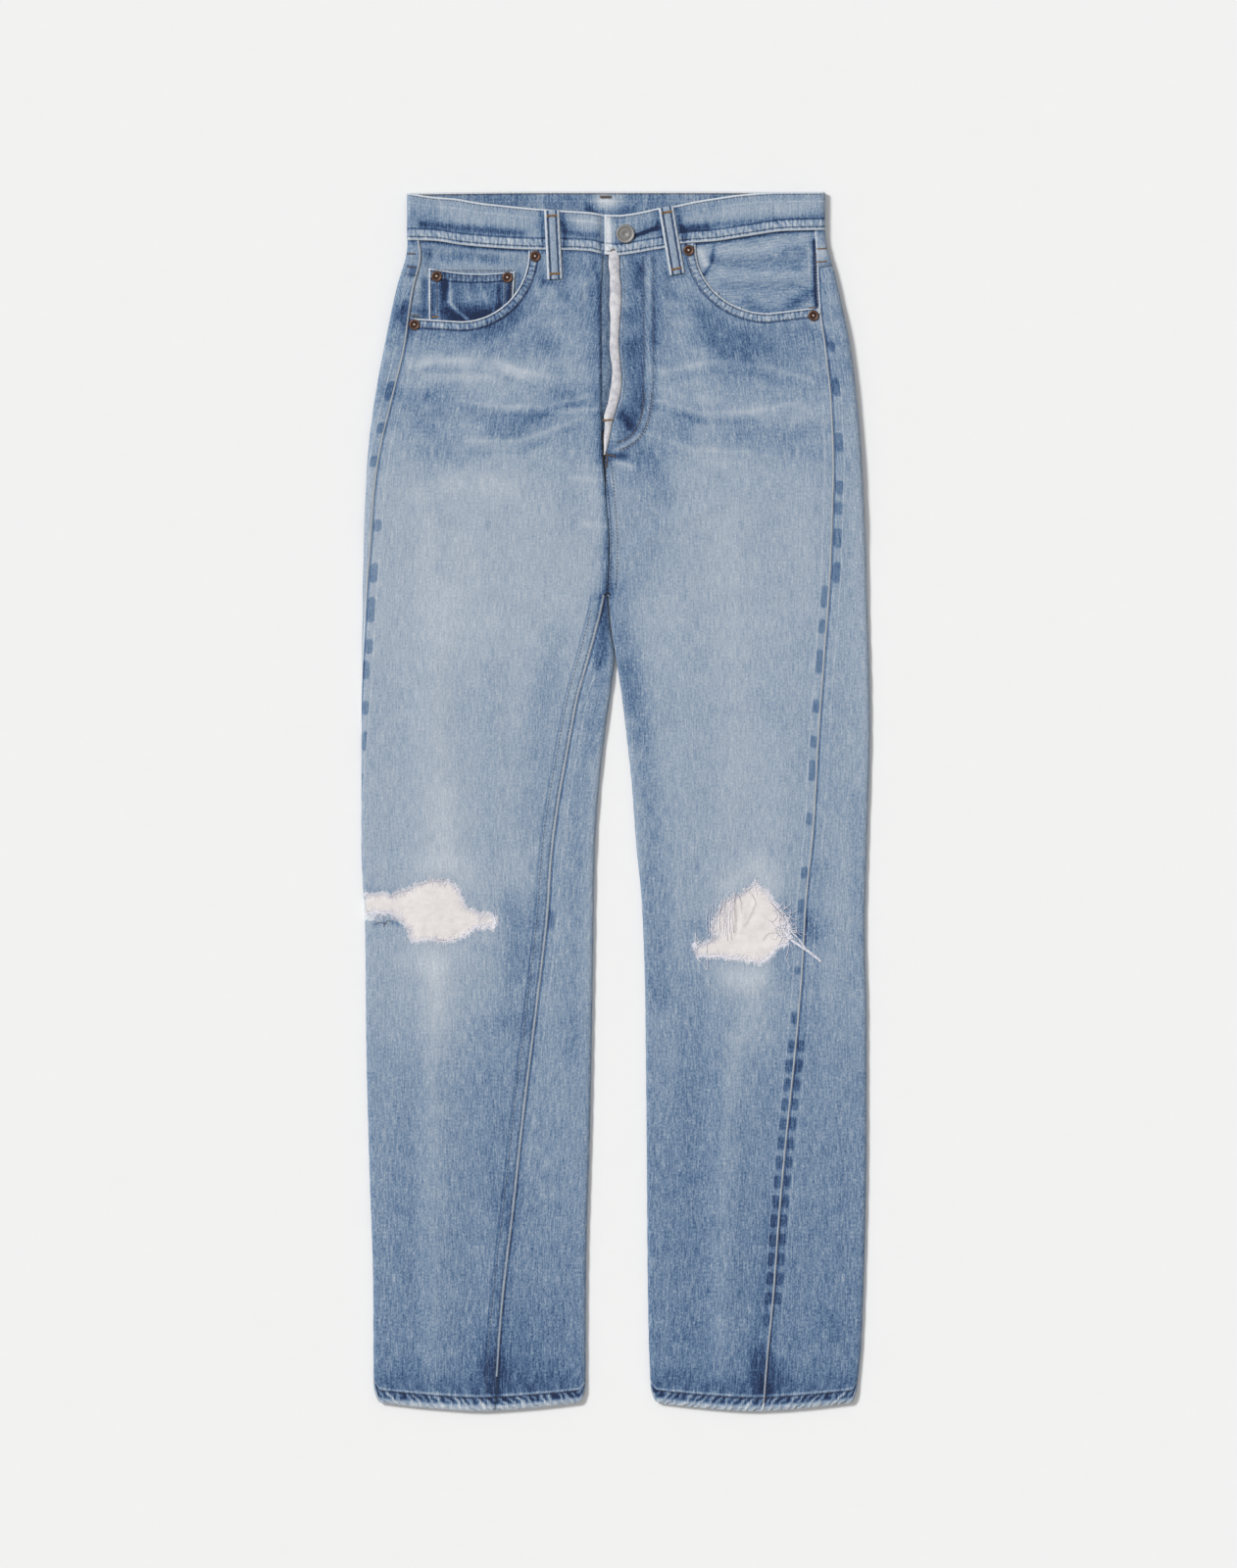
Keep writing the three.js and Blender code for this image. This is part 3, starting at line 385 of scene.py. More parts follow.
fly_shadow = [
    (-0.1, 9, (16, 470), (15, 430), (14, 400)), (-0.08, 10, (16, 400), (18, 360), (8, 330)),
    (-0.05, 8, (30, 440), (32, 400), (30, 370)), (-0.09, 6, (-20, 472), (-18, 440), (-18, 340)),
    (-0.16, 5, (-13, 340), (-11, 300), (-9, 272)), (-0.18, 4.5, (-8, 270), (-6, 210), (-7, 182)),
    (-0.14, 4, (4, 338), (14, 328)), (-0.24, 3.6, (-3, 303), (8, 302)),
    (0.18, 2, (-2, 307), (6, 311), (20, 320)), (0.12, 2, (0, 298), (14, 294)),
    (0.1, 2, (-60, 342), (-14, 344)), (0.06, 2.4, (-40, 284), (-14, 282)),
    (0.06, 2.4, (-28, 243), (-8, 242)), (0.07, 2.4, (28.5, 476), (28.5, 345)),
    (-0.1, 2, (23.5, 476), (23.5, 345)), (-0.1, 2, (33.5, 476), (33.5, 350)),
    (-0.03, 7, (8, 345), (10, 312)), (-0.2, 5, (-10, 178), (-11, 150), (-15, 120)),
    (-0.09, 10, (-10, 305), (4, 312), (10, 316)), (-0.05, 12, (6, 190), (10, 230), (8, 280)),
    (-0.05, 14, (-2, 150), (10, 120), (22, 60)), (0.08, 3, (-26, 478), (-22, 466), (-16, 452)),
    (0.05, 3, (-60, 452), (-46, 436), (-34, 424)), (0.05, 3, (-34, 470), (-28, 452), (-24, 440)),
]

# %% The pressed crease of each leg, and the knees
crease_streaks = [
    (0.035, 16, (-158, 250), (-158, 100), (-154, -60)),
    (0.035, 12, (-158, -130), (-162, -300), (-160, -520)),
    (0.02, 6, (-156, -150), (-160, -260), (-164, -360)),
    (-0.02, 12, (-184, -250), (-186, -380), (-184, -500)),
    (0.055, 7, (104, -210), (98, -300), (94, -400), (92, -500)),
    (0.03, 16, (96, 250), (104, 120), (104, -30)), (0.02, 16, (130, 60), (134, 0), (130, -50)),
    (-0.035, 12, (66, -120), (66, -200), (62, -330)), (-0.02, 10, (60, -340), (64, -480)),
    (0.02, 22, (-136, 230), (-132, 150)), (-0.03, 12, (-62, 110), (-76, 40), (-80, -30)),
    (-0.02, 10, (-110, 110), (-112, 20), (-108, -40)),
]
pale_knees = [
    (0.03, 14, (-176, -136), (-160, -142), (-140, -132)), (0.05, 22, (-160, -150), (-156, -190)),
    (0.04, 12, (-170, -60), (-140, -52), (-128, -70)), (0.04, 18, (-150, 6), (-154, -40)),
    (0.08, 12, (98, -76), (122, -58), (136, -72)), (0.08, 13, (98, -154), (116, -156), (128, -152)),
    (0.06, 18, (118, -160), (120, -200)), (0.03, 14, (112, -200), (108, -250)),
    (-0.05, 20, (-84, -104), (-78, -150), (-88, -190)), (-0.035, 12, (-62, -190), (-80, -240)),
]

# %% Shade in the folds, between the legs and along the inseam
fold_shadow = [
    (-0.045, 14, (-52, 150), (-62, 60), (-64, -10), (-60, -80), (-58, -150)),
    (-0.12, 1.8, (-212, -108), (-203, -107)), (-0.13, 1.8, (-197, -105), (-191, -108)),
    (-0.05, 4, (-218, -77), (-196, -80)), (-0.045, 10, (-166, 282), (-150, 240), (-150, 205)),
    (-0.07, 8, (66, 352), (72, 336)), (-0.05, 9, (-196, 384), (-150, 378)),
    (-0.04, 10, (74, -112), (92, -112)), (-0.1, 8, (168, -104), (172, -116)),
    (-0.05, 10, (212, 0), (214, -150)), (-0.03, 10, (-104, -350), (-96, -370)),
    (-0.06, 9, (-112, -490), (-96, -500)), (-0.06, 9, (134, -490), (140, -505)),
    (-0.06, 9, (188, -452), (192, -470)), (-0.055, 16, (-92, -340), (-86, -400), (-84, -460), (-78, -505)),
    (-0.05, 14, (-56, -450), (-52, -500)), (-0.04, 8, (-96, -90), (-92, -130), (-94, -170)),
    (-0.03, 20, (-90, -200), (-100, -300)),
    (-0.07, 11, (-16, 176), (-16, 130), (-22, 70), (-30, 20), (-34, -60), (-38, -140), (-38, -220)),
    (-0.03, 14, (-30, 90), (-44, 20), (-44, -80)), (-0.06, 8, (-8, 182), (-6, 150), (-10, 100), (-18, 50)),
    (-0.075, 11, (2, 185), (10, 130), (22, 60), (30, 0), (36, -60), (40, -120), (42, -170)),
    (-0.05, 6, (26, -60), (30, -120), (32, -180)),
    (-0.03, 16, (194, 300), (195, 200), (190, 110), (184, 20), (180, -60)),
    (-0.06, 12, (150, -96), (152, -126), (146, -150)), (-0.05, 10, (178, -60), (170, -160), (160, -240)),
    (-0.05, 14, (30, 300), (36, 240), (26, 200)), (-0.03, 14, (-40, 330), (-40, 240)),
    (-0.05, 9, (-92, -380), (-98, -440), (-100, -500)), (-0.05, 9, (138, -360), (132, -420), (128, -480)),
    (-0.03, 16, (-112, -200), (-112, -340)), (-0.045, 10, (-92, -80), (-86, -112), (-88, -150)),
    (-0.05, 8, (-70, -84), (-74, -130), (-78, -200)),
]

# %% Small worn patches and patches of painted shade, round the pockets and loops and at the hems
hip_patches = [
    (-0.04, 8, (-128, 404), (-112, 416), (-94, 420)), (-0.07, 6, (-92, 428), (-84, 444), (-78, 460)),
    (-0.08, 7, (-190, 436), (-184, 424)), (-0.05, 8, (-196, 400), (-186, 398)),
    (-0.06, 6, (-66, 398), (-50, 404)), (-0.07, 7, (-208, 362), (-176, 356), (-142, 362)),
    (0.05, 6, (-168, 376), (-140, 372), (-112, 372)), (-0.05, 7, (-188, 330), (-160, 326)),
    (0.05, 5, (-180, 386), (-152, 388), (-130, 386)), (-0.06, 9, (-110, 336), (-84, 330), (-62, 338)),
    (0.05, 9, (-96, 378), (-80, 374)), (-0.05, 8, (-60, 366), (-36, 356)),
    (-0.04, 7, (-170, 306), (-140, 300), (-116, 306)), (-0.07, 9, (78, 412), (92, 396), (112, 388)),
    (-0.05, 7, (150, 408), (168, 412), (184, 404)), (-0.06, 6, (34, 452), (36, 430), (34, 404)),
    (-0.08, 10, (12, 392), (18, 372), (22, 350)), (-0.06, 9, (24, 350), (20, 330), (10, 318)),
    (-0.06, 10, (22, 300), (36, 290), (44, 270)), (0.05, 7, (46, 362), (62, 352), (90, 350)),
    (-0.04, 7, (112, 328), (150, 322), (186, 326)), (0.04, 8, (74, 300), (110, 296)),
    (0.14, 4, (181.5, 483), (181.5, 477)), (-0.08, 7, (-34, 468), (-20, 470)),
    (-0.07, 7, (20, 470), (36, 474)), (-0.07, 6, (44, 458), (46, 448)), (-0.06, 5, (-66, 466), (-60, 456)),
    (-0.05, 6, (-50, 446), (-42, 436)), (0.09, 4, (-71, 454), (-69, 446)), (-0.06, 7, (84, 452), (94, 446)),
    (0.05, 9, (64, 418), (76, 412)), (0.05, 8, (182, 416), (194, 412)), (0.05, 9, (26, 386), (34, 376)),
    (0.05, 8, (-194, 348), (-186, 342)), (-0.05, 9, (52, 346), (90, 344)),
    (0.05, 10, (-122, 312), (-98, 308)), (-0.07, 8, (-12, 322), (-9, 300)),
    (-0.06, 9, (-12, 224), (-9, 190)), (-0.12, 4, (20.5, 467), (19.5, 452)),
    (-0.09, 5, (9, 428), (13, 424)),
    (-0.2, 2.4, (-16, 462), (-13, 440), (-12.5, 400), (-12, 355), (-10, 338)),
    (-0.16, 4.5, (6, 341), (12, 332), (17, 340)), (0.07, 4, (8, 441), (9, 434)),
    (0.06, 4, (12, 415), (13, 408)), (-0.16, 6, (-190, 424), (-180, 416)),
]
lower_patches = [
    (-0.06, 9, (7, 116), (11, 84)), (-0.05, 12, (160, -108), (182, -112)),
    (0.05, 14, (-90, -384), (-88, -430)), (0.2, 4, (-206, -531.5), (-40, -531.5)),
    (0.14, 4, (40, -532), (206, -532)),
]
# Painted shade: a thin dark line round the foot of each front belt loop.
shade_round_loop_feet = [
    (-0.12, 2.4, (-65, 459), (-63.5, 454.8), (-46, 454.8), (-43.6, 462), (-44.6, 480)),
    (-0.12, 2.4, (44.5, 464), (46.5, 459.5), (61.5, 463.5), (58.6, 482)),
]
hem_shadow = [
    (-0.05, 14, (-200, -512), (-120, -520), (-40, -512)), (-0.05, 14, (40, -512), (120, -522), (205, -514)),
    (-0.09, 8, (-110, -496), (-106, -520)), (-0.05, 18, (-116, -470), (-112, -500)),
    (-0.15, 9, (124, -488), (124, -508)), (-0.08, 12, (136, -500), (134, -522)),
]


# %% [markdown]
# The dark squares sit beside each long seam, one for each wave that the seam shrank into.
# They are listed by the heights at which they show, and the seam's own curve gives their x.

# %% Dark squares beside the seams
def squares(seam_x, offset, strength, width, *spans):
    """Two short strokes side by side fill each square between its high and low end."""
    strokes, thin = [], 0.62 * width
    for high, low in spans:
        y0, y1 = high - thin * 0.6, low + thin * 0.6
        if y0 <= y1:
            y0 = y1 = (high + low) / 2
            y1 -= 0.1
        for share in (0.55, 1.05):
            x0, x1 = (float(seam_x(y * mm)) / mm + share * offset for y in (y0, y1))
            strokes.append((strength, thin, (x0, y0), (x1, y1)))
    return strokes


def outseam_right_x(y):
    return outer_right(y) + np.abs(outseam_right_along(y))


chain = [(-210 - 17 * k, -220 - 17 * k) for k in range(14)]
seam_squares = (
    squares(outseam_left_x, 6.5, -0.2, 4.2, (403, 396), (370, 357), (322, 308), (280, 270), (262, 252),
            (238, 224), (208, 193))
    + squares(outseam_left_x, -6, -0.12, 3.8, (189, 170), (160, 147), (133, 112), (89, 78), (57, 47),
              (36, 18), (-10, -21), (-58, -67), (-86, -98), (-114, -121), (-145, -152), (-185, -195))
    + squares(outseam_left_x, -6.5, -0.15, 4.4, *chain) + squares(outseam_left_x, 5, -0.13, 4, *chain)
    + squares(outseam_left_x, -6, -0.12, 4, (-450, -460)) + squares(outseam_left_x, 0, -0.14, 7, (-512, -520))
    + squares(inseam_right_x, -4, -0.16, 4.5, (-90, -119)) + squares(inseam_right_x, 5, -0.11, 3, (-96, -112))
    + squares(inseam_right_x, -7, -0.1, 4.5, (-158, -176), (60, 46), (96, 84), (-30, -44), (-206, -220),
              (-262, -276), (-322, -338), (-378, -392), (-430, -444))
    + squares(outseam_right_x, -7, -0.16, 4.4, (367, 353), (331, 324), (302, 294))
    + squares(outseam_right_x, 4, -0.16, 4.6, (246, 238), (208, 193), (178, 158), (141, 131))
    + squares(outer_right, 4, -0.16, 4.6, (122, 109), (87, 77), (60, 46), (24, 10))
    + squares(outseam_right_x, -8, -0.13, 5, (440, 428), (470, 460)))
DARKEST_SQUARE = 0.16
print("squares beside seams", len(seam_squares))


# %% Tone of the side that shows, and of the side underneath
def front_tone(x, y):
    share = smooth_step(-30 * mm, 20 * mm, x)
    base = fade_right(y) * (1 - share) + fade_left(y) * share
    strokes = fly_shadow + crease_streaks + pale_knees + hem_shadow + fold_shadow + shade_round_loop_feet + lower_patches
    hips = smooth_step(260 * mm, 340 * mm, y)
    # Painted shade: a dark line just below the foot of the waistband, over the hips.
    base = base - 0.012 - 0.2 * np.exp(-(((band_foot_front(x) - y) / (2.6 * mm)) ** 2)) * hips
    patchy = (0.012 + 0.02 * hips) * cloud(x, y, 30 * mm, 1.0) + 0.008 * cloud(x * 3, y, 30 * mm, 5.0)
    blotches = (0.006 + 0.03 * hips) * cloud(x, y * 1.6, 13 * mm, 9.0)
    blotches = blotches + 0.022 * hips * cloud(x * 0.6, y * 1.3, 6 * mm, 12.0)
    return base + brush(x, y, strokes + whiskers + hip_patches) + patchy + blotches


def under_tone(x, y):
    leg_x = np.where(x < -5 * mm, x + 118 * mm, x - 118 * mm)
    seat = brush(x, y, [(0.09, 70, (-100, 330)), (0.09, 70, (90, 330)), (-0.06, 10, (-9, 190), (-9, 300))])
    knees = brush(leg_x, y, [(0.05, 60, (0, -60), (0, 60)), (-0.05, 9, (-40, -90), (40, -84))])
    low = 0.53 + 0.05 * smooth_step(-400 * mm, 60 * mm, y) - 0.07 * smooth_step(-440 * mm, -535 * mm, y)
    return low + seat + knees + 0.03 * cloud(x, y, 30 * mm, 11.0)


# %% [markdown]
# ## Cutting a sheet
# A sheet starts as `bmesh.ops.create_grid`, and its points are moved onto the garment.
# Before they move, the points nearest to a cut edge slide onto it, so a pocket mouth or a rip has a clean
# line, and the faces inside the cut are deleted. The Solidify modifier then gives the cloth its thickness.
# Each sheet carries a UV map in metres of cloth, and a few numbers at each point for the shader: `tone`,
# the distance from a turned edge (`edge`) and along it (`run`), the width of that edge's stitched `band`,
# the distance from a plain `seam`, the distance from a torn edge (`fray`), and how dark the squares beside
# a seam are there (`ladder`). A distance that plays no part is FAR.

# %% A grid of cloth
FAR = 0.5


def grid_mesh(name, columns, rows):
    bm = bmesh.new()
    bmesh.ops.create_grid(bm, x_segments=columns, y_segments=rows, size=0.5)
    mesh = bpy.data.meshes.new(name)
    bm.to_mesh(mesh)
    bm.free()
    flat = np.empty(3 * len(mesh.vertices))
    mesh.vertices.foreach_get("co", flat)
    flat = flat.reshape(-1, 3) + 0.5
    return mesh, flat[:, 0], flat[:, 1]


def write_points(mesh, points, uv, numbers):
    """Moves the points, and stores the numbers; those that aren't given play no part."""
    numbers = {"edge": FAR, "run": 0.0, "band": 0.0, "seam": FAR, "fray": FAR, "ladder": 0.0, **numbers}
    mesh.vertices.foreach_set("co", np.ascontiguousarray(points, dtype=float).ravel())
    for name, values in numbers.items():
        stored = mesh.attributes.new(name, "FLOAT", "POINT")
        stored.data.foreach_set("value", np.broadcast_to(values, len(points)).astype(np.float32).copy())
    corner = np.empty(len(mesh.loops), int)
    mesh.loops.foreach_get("vertex_index", corner)
    layer = mesh.uv_layers.new(name="cloth")
    layer.data.foreach_set("uv", uv[corner].astype(np.float32).ravel())
    mesh.polygons.foreach_set("use_smooth", np.ones(len(mesh.polygons), bool))


def trim(mesh, drop, flip):
    bm = bmesh.new()
    bm.from_mesh(mesh)
    if drop is not None:
        bm.verts.ensure_lookup_table()
        gone = [f for f in bm.faces if all(drop[v.index] for v in f.verts)]
        bmesh.ops.delete(bm, geom=gone, context="FACES")
    if flip:
        bmesh.ops.reverse_faces(bm, faces=bm.faces)
    bm.to_mesh(mesh)
    bm.free()
    mesh.update()


def put(name, mesh, materials, node=None, thickness=0.0, inner=0):
    piece = bpy.data.objects.new(name + "_shown" if node else name, mesh)
    bpy.context.scene.collection.objects.link(piece)
    for material in materials:
        mesh.materials.append(material)
    if thickness:
        wall = piece.modifiers.new("thickness of the cloth", "SOLIDIFY")
        wall.thickness, wall.offset, wall.use_even_offset = thickness, -1, False
        wall.material_offset = inner
    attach(piece, "root")
    if node:
        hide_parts(node)
    return piece


def declare(piece, widths, length):
    """States the cut: the widest row, the length, and the area of all rows together."""
    area = float(np.mean(widths)) * length
    wide = float(np.max(widths))
    cut = piece.name, round(wide / mm), round(length / mm), round(area * 1e4) / 1e4
    print("cut of %s: %d x %d mm, %.4f square metres" % cut)


# %% [markdown]
# ## Writing a shader as an expression
# `Signal` wraps one socket, so `1 - mask` or `tone + 0.1 * grain` adds the Math nodes by itself.
# `Recipe` holds one material: its `node` method adds any other node, with settings before sockets, and
# `in_cloth` and `in_space` add noise, by the sheet's own UV map or by where the piece lies.

# %% Signals and recipes
class Signal:
    def __init__(self, recipe, socket):
        self.recipe, self.socket = recipe, socket

    def math(self, operation, first, second=None):
        made = self.recipe.tree.nodes.new("ShaderNodeMath")
        made.operation = operation
        for place, value in enumerate((first, second)):
            if isinstance(value, Signal):
                self.recipe.tree.links.new(value.socket, made.inputs[place])
            elif value is not None:
                made.inputs[place].default_value = value
        return Signal(self.recipe, made.outputs[0])

    def __add__(self, other): return self.math("ADD", self, other)
    def __radd__(self, other): return self.math("ADD", other, self)
    def __sub__(self, other): return self.math("SUBTRACT", self, other)
    def __rsub__(self, other): return self.math("SUBTRACT", other, self)
    def __mul__(self, other): return self.math("MULTIPLY", self, other)
    def __rmul__(self, other): return self.math("MULTIPLY", other, self)
    def __truediv__(self, other): return self.math("DIVIDE", self, other)
    def __rtruediv__(self, other): return self.math("DIVIDE", other, self)
    def sine(self): return self.math("SINE", self)
    def size(self): return self.math("ABSOLUTE", self)
    def most(self, other): return self.math("MAXIMUM", self, other)

    def step(self, low, high):
        """0 below low, 1 above high, smooth between; high may be the lower one."""
        settings = {"interpolation_type": "SMOOTHSTEP"}
        if low < high:
            return self.recipe.node("ShaderNodeMapRange", settings, Value=self, From_Min=low, From_Max=high)
        return 1 - self.step(high, low)


class Recipe:
    def __init__(self, name, **constants):
        self.material = bpy.data.materials.new(name)
        self.material.use_nodes = True
        self.tree = self.material.node_tree
        self.shader = self.tree.nodes["Principled BSDF"]
        for socket, value in constants.items():
            self.shader.inputs[socket.replace("_", " ")].default_value = value

    def node(self, kind, settings=None, output=0, **sockets):
        made = self.tree.nodes.new(kind)
        for setting, value in (settings or {}).items():
            setattr(made, setting, value)
        for socket, value in sockets.items():
            place = made.inputs[socket.replace("_", " ")]
            if isinstance(value, Signal):
                self.tree.links.new(value.socket, place)
            else:
                place.default_value = value
        return Signal(self, made.outputs[output])

    def stored(self, name):
        return self.node("ShaderNodeAttribute", {"attribute_name": name}, "Fac")

    def grain(self, kind, scale, detail=2.0, roughness=0.5, distortion=0.0):
        """Noise with so many repeats a metre each way, laid by the UV map or by Object coordinates."""
        place = self.node("ShaderNodeTexCoord", None, kind)
        place = self.node("ShaderNodeMapping", {"vector_type": "POINT"}, Vector=place, Scale=scale)
        return self.node("ShaderNodeTexNoise", None, "Fac", Vector=place, Scale=1.0, Detail=detail,
                         Roughness=roughness, Distortion=distortion)

    def in_cloth(self, across, along, *looks):
        """Noise in metres of cloth, centred on nought."""
        return self.grain("UV", (across, along, 1), *looks) - 0.5

    def in_space(self, across, along, *looks, up=None):
        return self.grain("Object", (across, along, across if up is None else up), *looks)

    def ramp(self, value, *stops):
        made = self.tree.nodes.new("ShaderNodeValToRGB")
        for extra in stops[2:]:
            made.color_ramp.elements.new(extra[0])
        for element, (place, colour) in zip(made.color_ramp.elements, stops):
            element.position, element.color = place, (*linear(colour), 1)
        self.tree.links.new(value.socket, made.inputs[0])
        return Signal(self, made.outputs[0])

    def mix(self, share, first, second):
        made = self.tree.nodes.new("ShaderNodeMix")
        made.data_type = "RGBA"
        for place, value in ((0, share), (6, first), (7, second)):
            if isinstance(value, Signal):
                self.tree.links.new(value.socket, made.inputs[place])
            else:
                made.inputs[place].default_value = (*linear(value), 1) if place else value
        return Signal(self, made.outputs[2])

    def bump(self, height, distance, strength=1.0):
        return self.node("ShaderNodeBump", None, Height=height, Distance=distance, Strength=strength)

    def finish(self, **links):
        for socket, value in links.items():
            self.tree.links.new(value.socket, self.shader.inputs[socket.replace("_", " ")])
        return self.material


def linear(colour):
    """A colour as seen on a screen, 0 to 255, as the linear values that a shader takes."""
    return tuple(((c / 255 + 0.055) / 1.055) ** 2.4 if c > 10 else c / 255 / 12.92 for c in colour)


# %% [markdown]
# ## Washed denim
# Denim is a twill of indigo warp over white weft. The dye sits on the outside of the yarn, so wear shows
# the white core: thin vertical streaks where the warp is uneven, pale flecks on the high points, and fine
# crackled lines where the cloth was creased in the wash. The darker the cloth, the stronger the contrast.
# The stored tone sets the local fade and carries painted shade. The bands of turned cloth at hems and pocket
# mouths get the slanted puckers that shrinkage leaves between two rows of stitches, with a white worn edge.
# The shader paints shade into the stitched grooves and into the gap beside a seam.

# %% The denim recipe
INDIGO = ((0.2, (24, 40, 72)), (0.3, (43, 66, 104)), (0.4, (71, 98, 134)), (0.5, (103, 127, 156)),
          (0.6, (136, 154, 175)), (0.7, (168, 179, 192)), (0.8, (197, 204, 212)), (0.92, (228, 230, 234)))
PUCKER_PITCH, DRAG_PITCH, RUNG_PITCH = 7 * mm, 15 * mm, 3.6 * mm
WORN_TONE, SEAM_TONE, FRAYED_TONE = 0.82, 0.84, 0.88


def denim(name, offset=0.0, contrast=1.0, warmth=0.0):
    r = Recipe(name, Roughness=0.92, Sheen_Weight=0.12, Sheen_Roughness=0.6, Specular_IOR_Level=0.25)
    tone = r.stored("tone") + offset
    dark = (tone * -1 + 1).step(0.26, 0.55)
    strength = (0.6 + 0.8 * dark) * contrast
    streak = r.in_cloth(950, 80, 3.0, 0.6)
    slub = r.in_cloth(170, 7)
    fleck = r.in_cloth(620, 480, 2.0, 0.6)
    patch = r.in_cloth(70, 60, 3.0, 0.6)
    vein = 1 - (r.in_cloth(120, 85, 3.0, 0.55, 0.8).size() * 2).step(0.0, 0.09)
    thread_run = r.in_cloth(430, 60, 2.0, 0.6)
    wander = r.in_cloth(90, 90)
    yarn_ends = r.in_cloth(420, 240, 3.0)
    cloth = tone + strength * (0.38 * streak + 0.12 * thread_run + 0.06 * slub + 0.34 * fleck + 0.05 * patch)
    cloth = cloth + strength * dark * 0.07 * vein * (patch + 0.5)

    # Kinds of band, told apart by their width in millimetres: a loop's 2.6, a mouth's 8, the waistband's
    # 9.5, the felled seam's 11 and the hem's 12.
    edge, run, width = r.stored("edge"), r.stored("run"), r.stored("band")
    band_mm, edge_mm, past_band = width / mm, edge / mm, (edge - width) / mm
    any_band, wide_band, hem = band_mm.step(1.0, 2.0), band_mm.step(10.4, 10.8), band_mm.step(11.4, 11.8)
    in_band = ((width - edge) / mm).step(-0.5, 0.7) * any_band
    felled = wide_band * (1 - hem) * in_band
    narrow = band_mm.step(7.0, 7.4) * (1 - band_mm.step(10.0, 10.6))

    # Slanted puckers in the bands, drag lines above the hem and rungs between two rows of stitches.
    lean = (run + edge * 0.7 + wander * 0.014) * (2 * math.pi / PUCKER_PITCH)
    waves = lean.sine() + 0.4 * (lean * 0.37).sine() + 2.0 * patch
    pucker = waves * in_band * (0.7 + 1.5 * hem - 0.5 * wide_band * (1 - hem))
    past_hem = past_band.step(16.0, 1.0) * (1 - in_band) * hem
    drag = ((run + edge * 0.6 + wander * 0.02) * (2 * math.pi / DRAG_PITCH)).sine() * past_hem
    rungs = ((run + wander * 0.005) * (2 * math.pi / RUNG_PITCH)).sine().step(0.0, 0.9) * in_band * narrow

    # Grooves that the rows of stitches press in, and the ridge above the hem's row.
    inner_row = 1.9 + 1.0 * band_mm.step(8.8, 9.2)
    groove = (past_band - 0.4).size().step(1.3, 0.3) * any_band * (1 - hem) * (1 - 0.5 * wide_band)
    groove = groove.most((edge_mm - inner_row).size().step(0.9, 0.2) * narrow.most(0.5 * felled))
    groove = groove * (1 + 0.8 * band_mm.step(3.6, 3.0))
    groove = groove.most((past_band + 0.7).size().step(0.9, 0.3) * hem)
    ridge = (past_band - 1.4).size().step(1.7, 0.4) * hem

    # Worn edges, plain seams with their turnings, and the squares beside them.
    worn_edge = ((edge + wander * 0.001) / mm).step(2.0, 0.7)
    worn_edge = worn_edge.most(((edge + waves * 0.0009) / mm).step(6.0, 2.6) * hem * 0.7)
    seam_at = r.stored("seam") / mm
    seam = seam_at.step(1.7, 1.1) * seam_at.step(-0.1, 0.0) * (0.95 + 0.8 * thread_run)
    # Painted shade: a dark line in the gap beside a seam edge marked -1.
    gap_shade = seam_at.step(-2.0, -1.2) * seam_at.step(0.0, -0.1)
    from_seam = seam_at.size()
    beside_seam = (from_seam - 8.3).size().step(1.0, 0.3)
    ladder = (r.stored("ladder") * (1 + patch + 0.8 * fleck)).step(0.25, 0.9) * from_seam.step(8.4, 7.6)
    ragged = ((r.stored("fray") + 0.011 * yarn_ends) / mm).step(2.3, 1.1)

    # The grooves are darkened here with painted shade; their relief is in the bump below.
    cloth = cloth + 0.075 * pucker + (0.08 - 0.09 * hem) * in_band - 0.1 * felled - 0.19 * groove
    cloth = cloth - 0.12 * rungs + 0.16 * ridge + 0.045 * drag
    cloth = cloth - 0.15 * ladder - 0.17 * gap_shade + 0.05 * beside_seam
    cloth = cloth + worn_edge * (WORN_TONE - cloth) * 0.85 + seam * (SEAM_TONE - cloth) * 0.95
    cloth = cloth + ragged * (FRAYED_TONE - cloth) * 0.85
    colour = r.ramp(cloth, *INDIGO)
    if warmth:
        colour = r.mix(warmth, colour, (196, 190, 184))

    slant = r.node("ShaderNodeTexWave", {"wave_type": "BANDS", "bands_direction": "DIAGONAL"}, "Fac",
                   Vector=r.node("ShaderNodeTexCoord", None, "UV"), Scale=230.0, Distortion=0.6, Detail=1.0)
    height = 0.05 * slant + 0.1 * streak + 0.12 * fleck + 0.1 * patch
    height = height + in_band * 0.35 + 0.16 * pucker - 0.3 * groove + 0.1 * seam + 0.2 * worn_edge
    return r.finish(Base_Color=colour, Normal=r.bump(height, 1 * mm, 0.9))


denim_face = denim("washed denim")
denim_inner = denim("inside of the denim", offset=0.02, contrast=0.8, warmth=0.35)
print("denim nodes", len(denim_face.node_tree.nodes))

# %% [markdown]
# ## White weft, thread and metal
# Where the warp has worn away, only the soft white weft is left, matted into a web of short yarns.
# The sewing thread was golden brown and has dulled. The rivets are copper with dark tarnish in the
# groove, and the button is grey cast metal rubbed paler on its rim.

# %% Weft, worn roll, threads
def bare_yarn(name, pale, shade, across, along, relief):
    r = Recipe(name, Roughness=0.95, Sheen_Weight=0.2, Sheen_Roughness=0.5, Specular_IOR_Level=0.2)
    fibre = r.in_space(across, along, 4.0, 0.65, 0.6, up=300)
    matted = r.in_space(110, 110, 3.0, 0.6, 1.0)
    share = (0.4 * fibre + 0.6 * matted).step(0.36, 0.6)
    return r.finish(Base_Color=r.mix(share, shade, pale), Normal=r.bump(fibre + 0.6 * matted, relief, 0.6))


weft = bare_yarn("bare white weft", (231, 226, 224), (221, 215, 214), 180, 700, 0.0002)
worn_roll = bare_yarn("worn white edge", (218, 216, 219), (182, 182, 191), 500, 260, 0.0006)
loose_yarn = bare_yarn("loose white yarn", (240, 239, 246), (222, 221, 232), 400, 400, 0.0001)


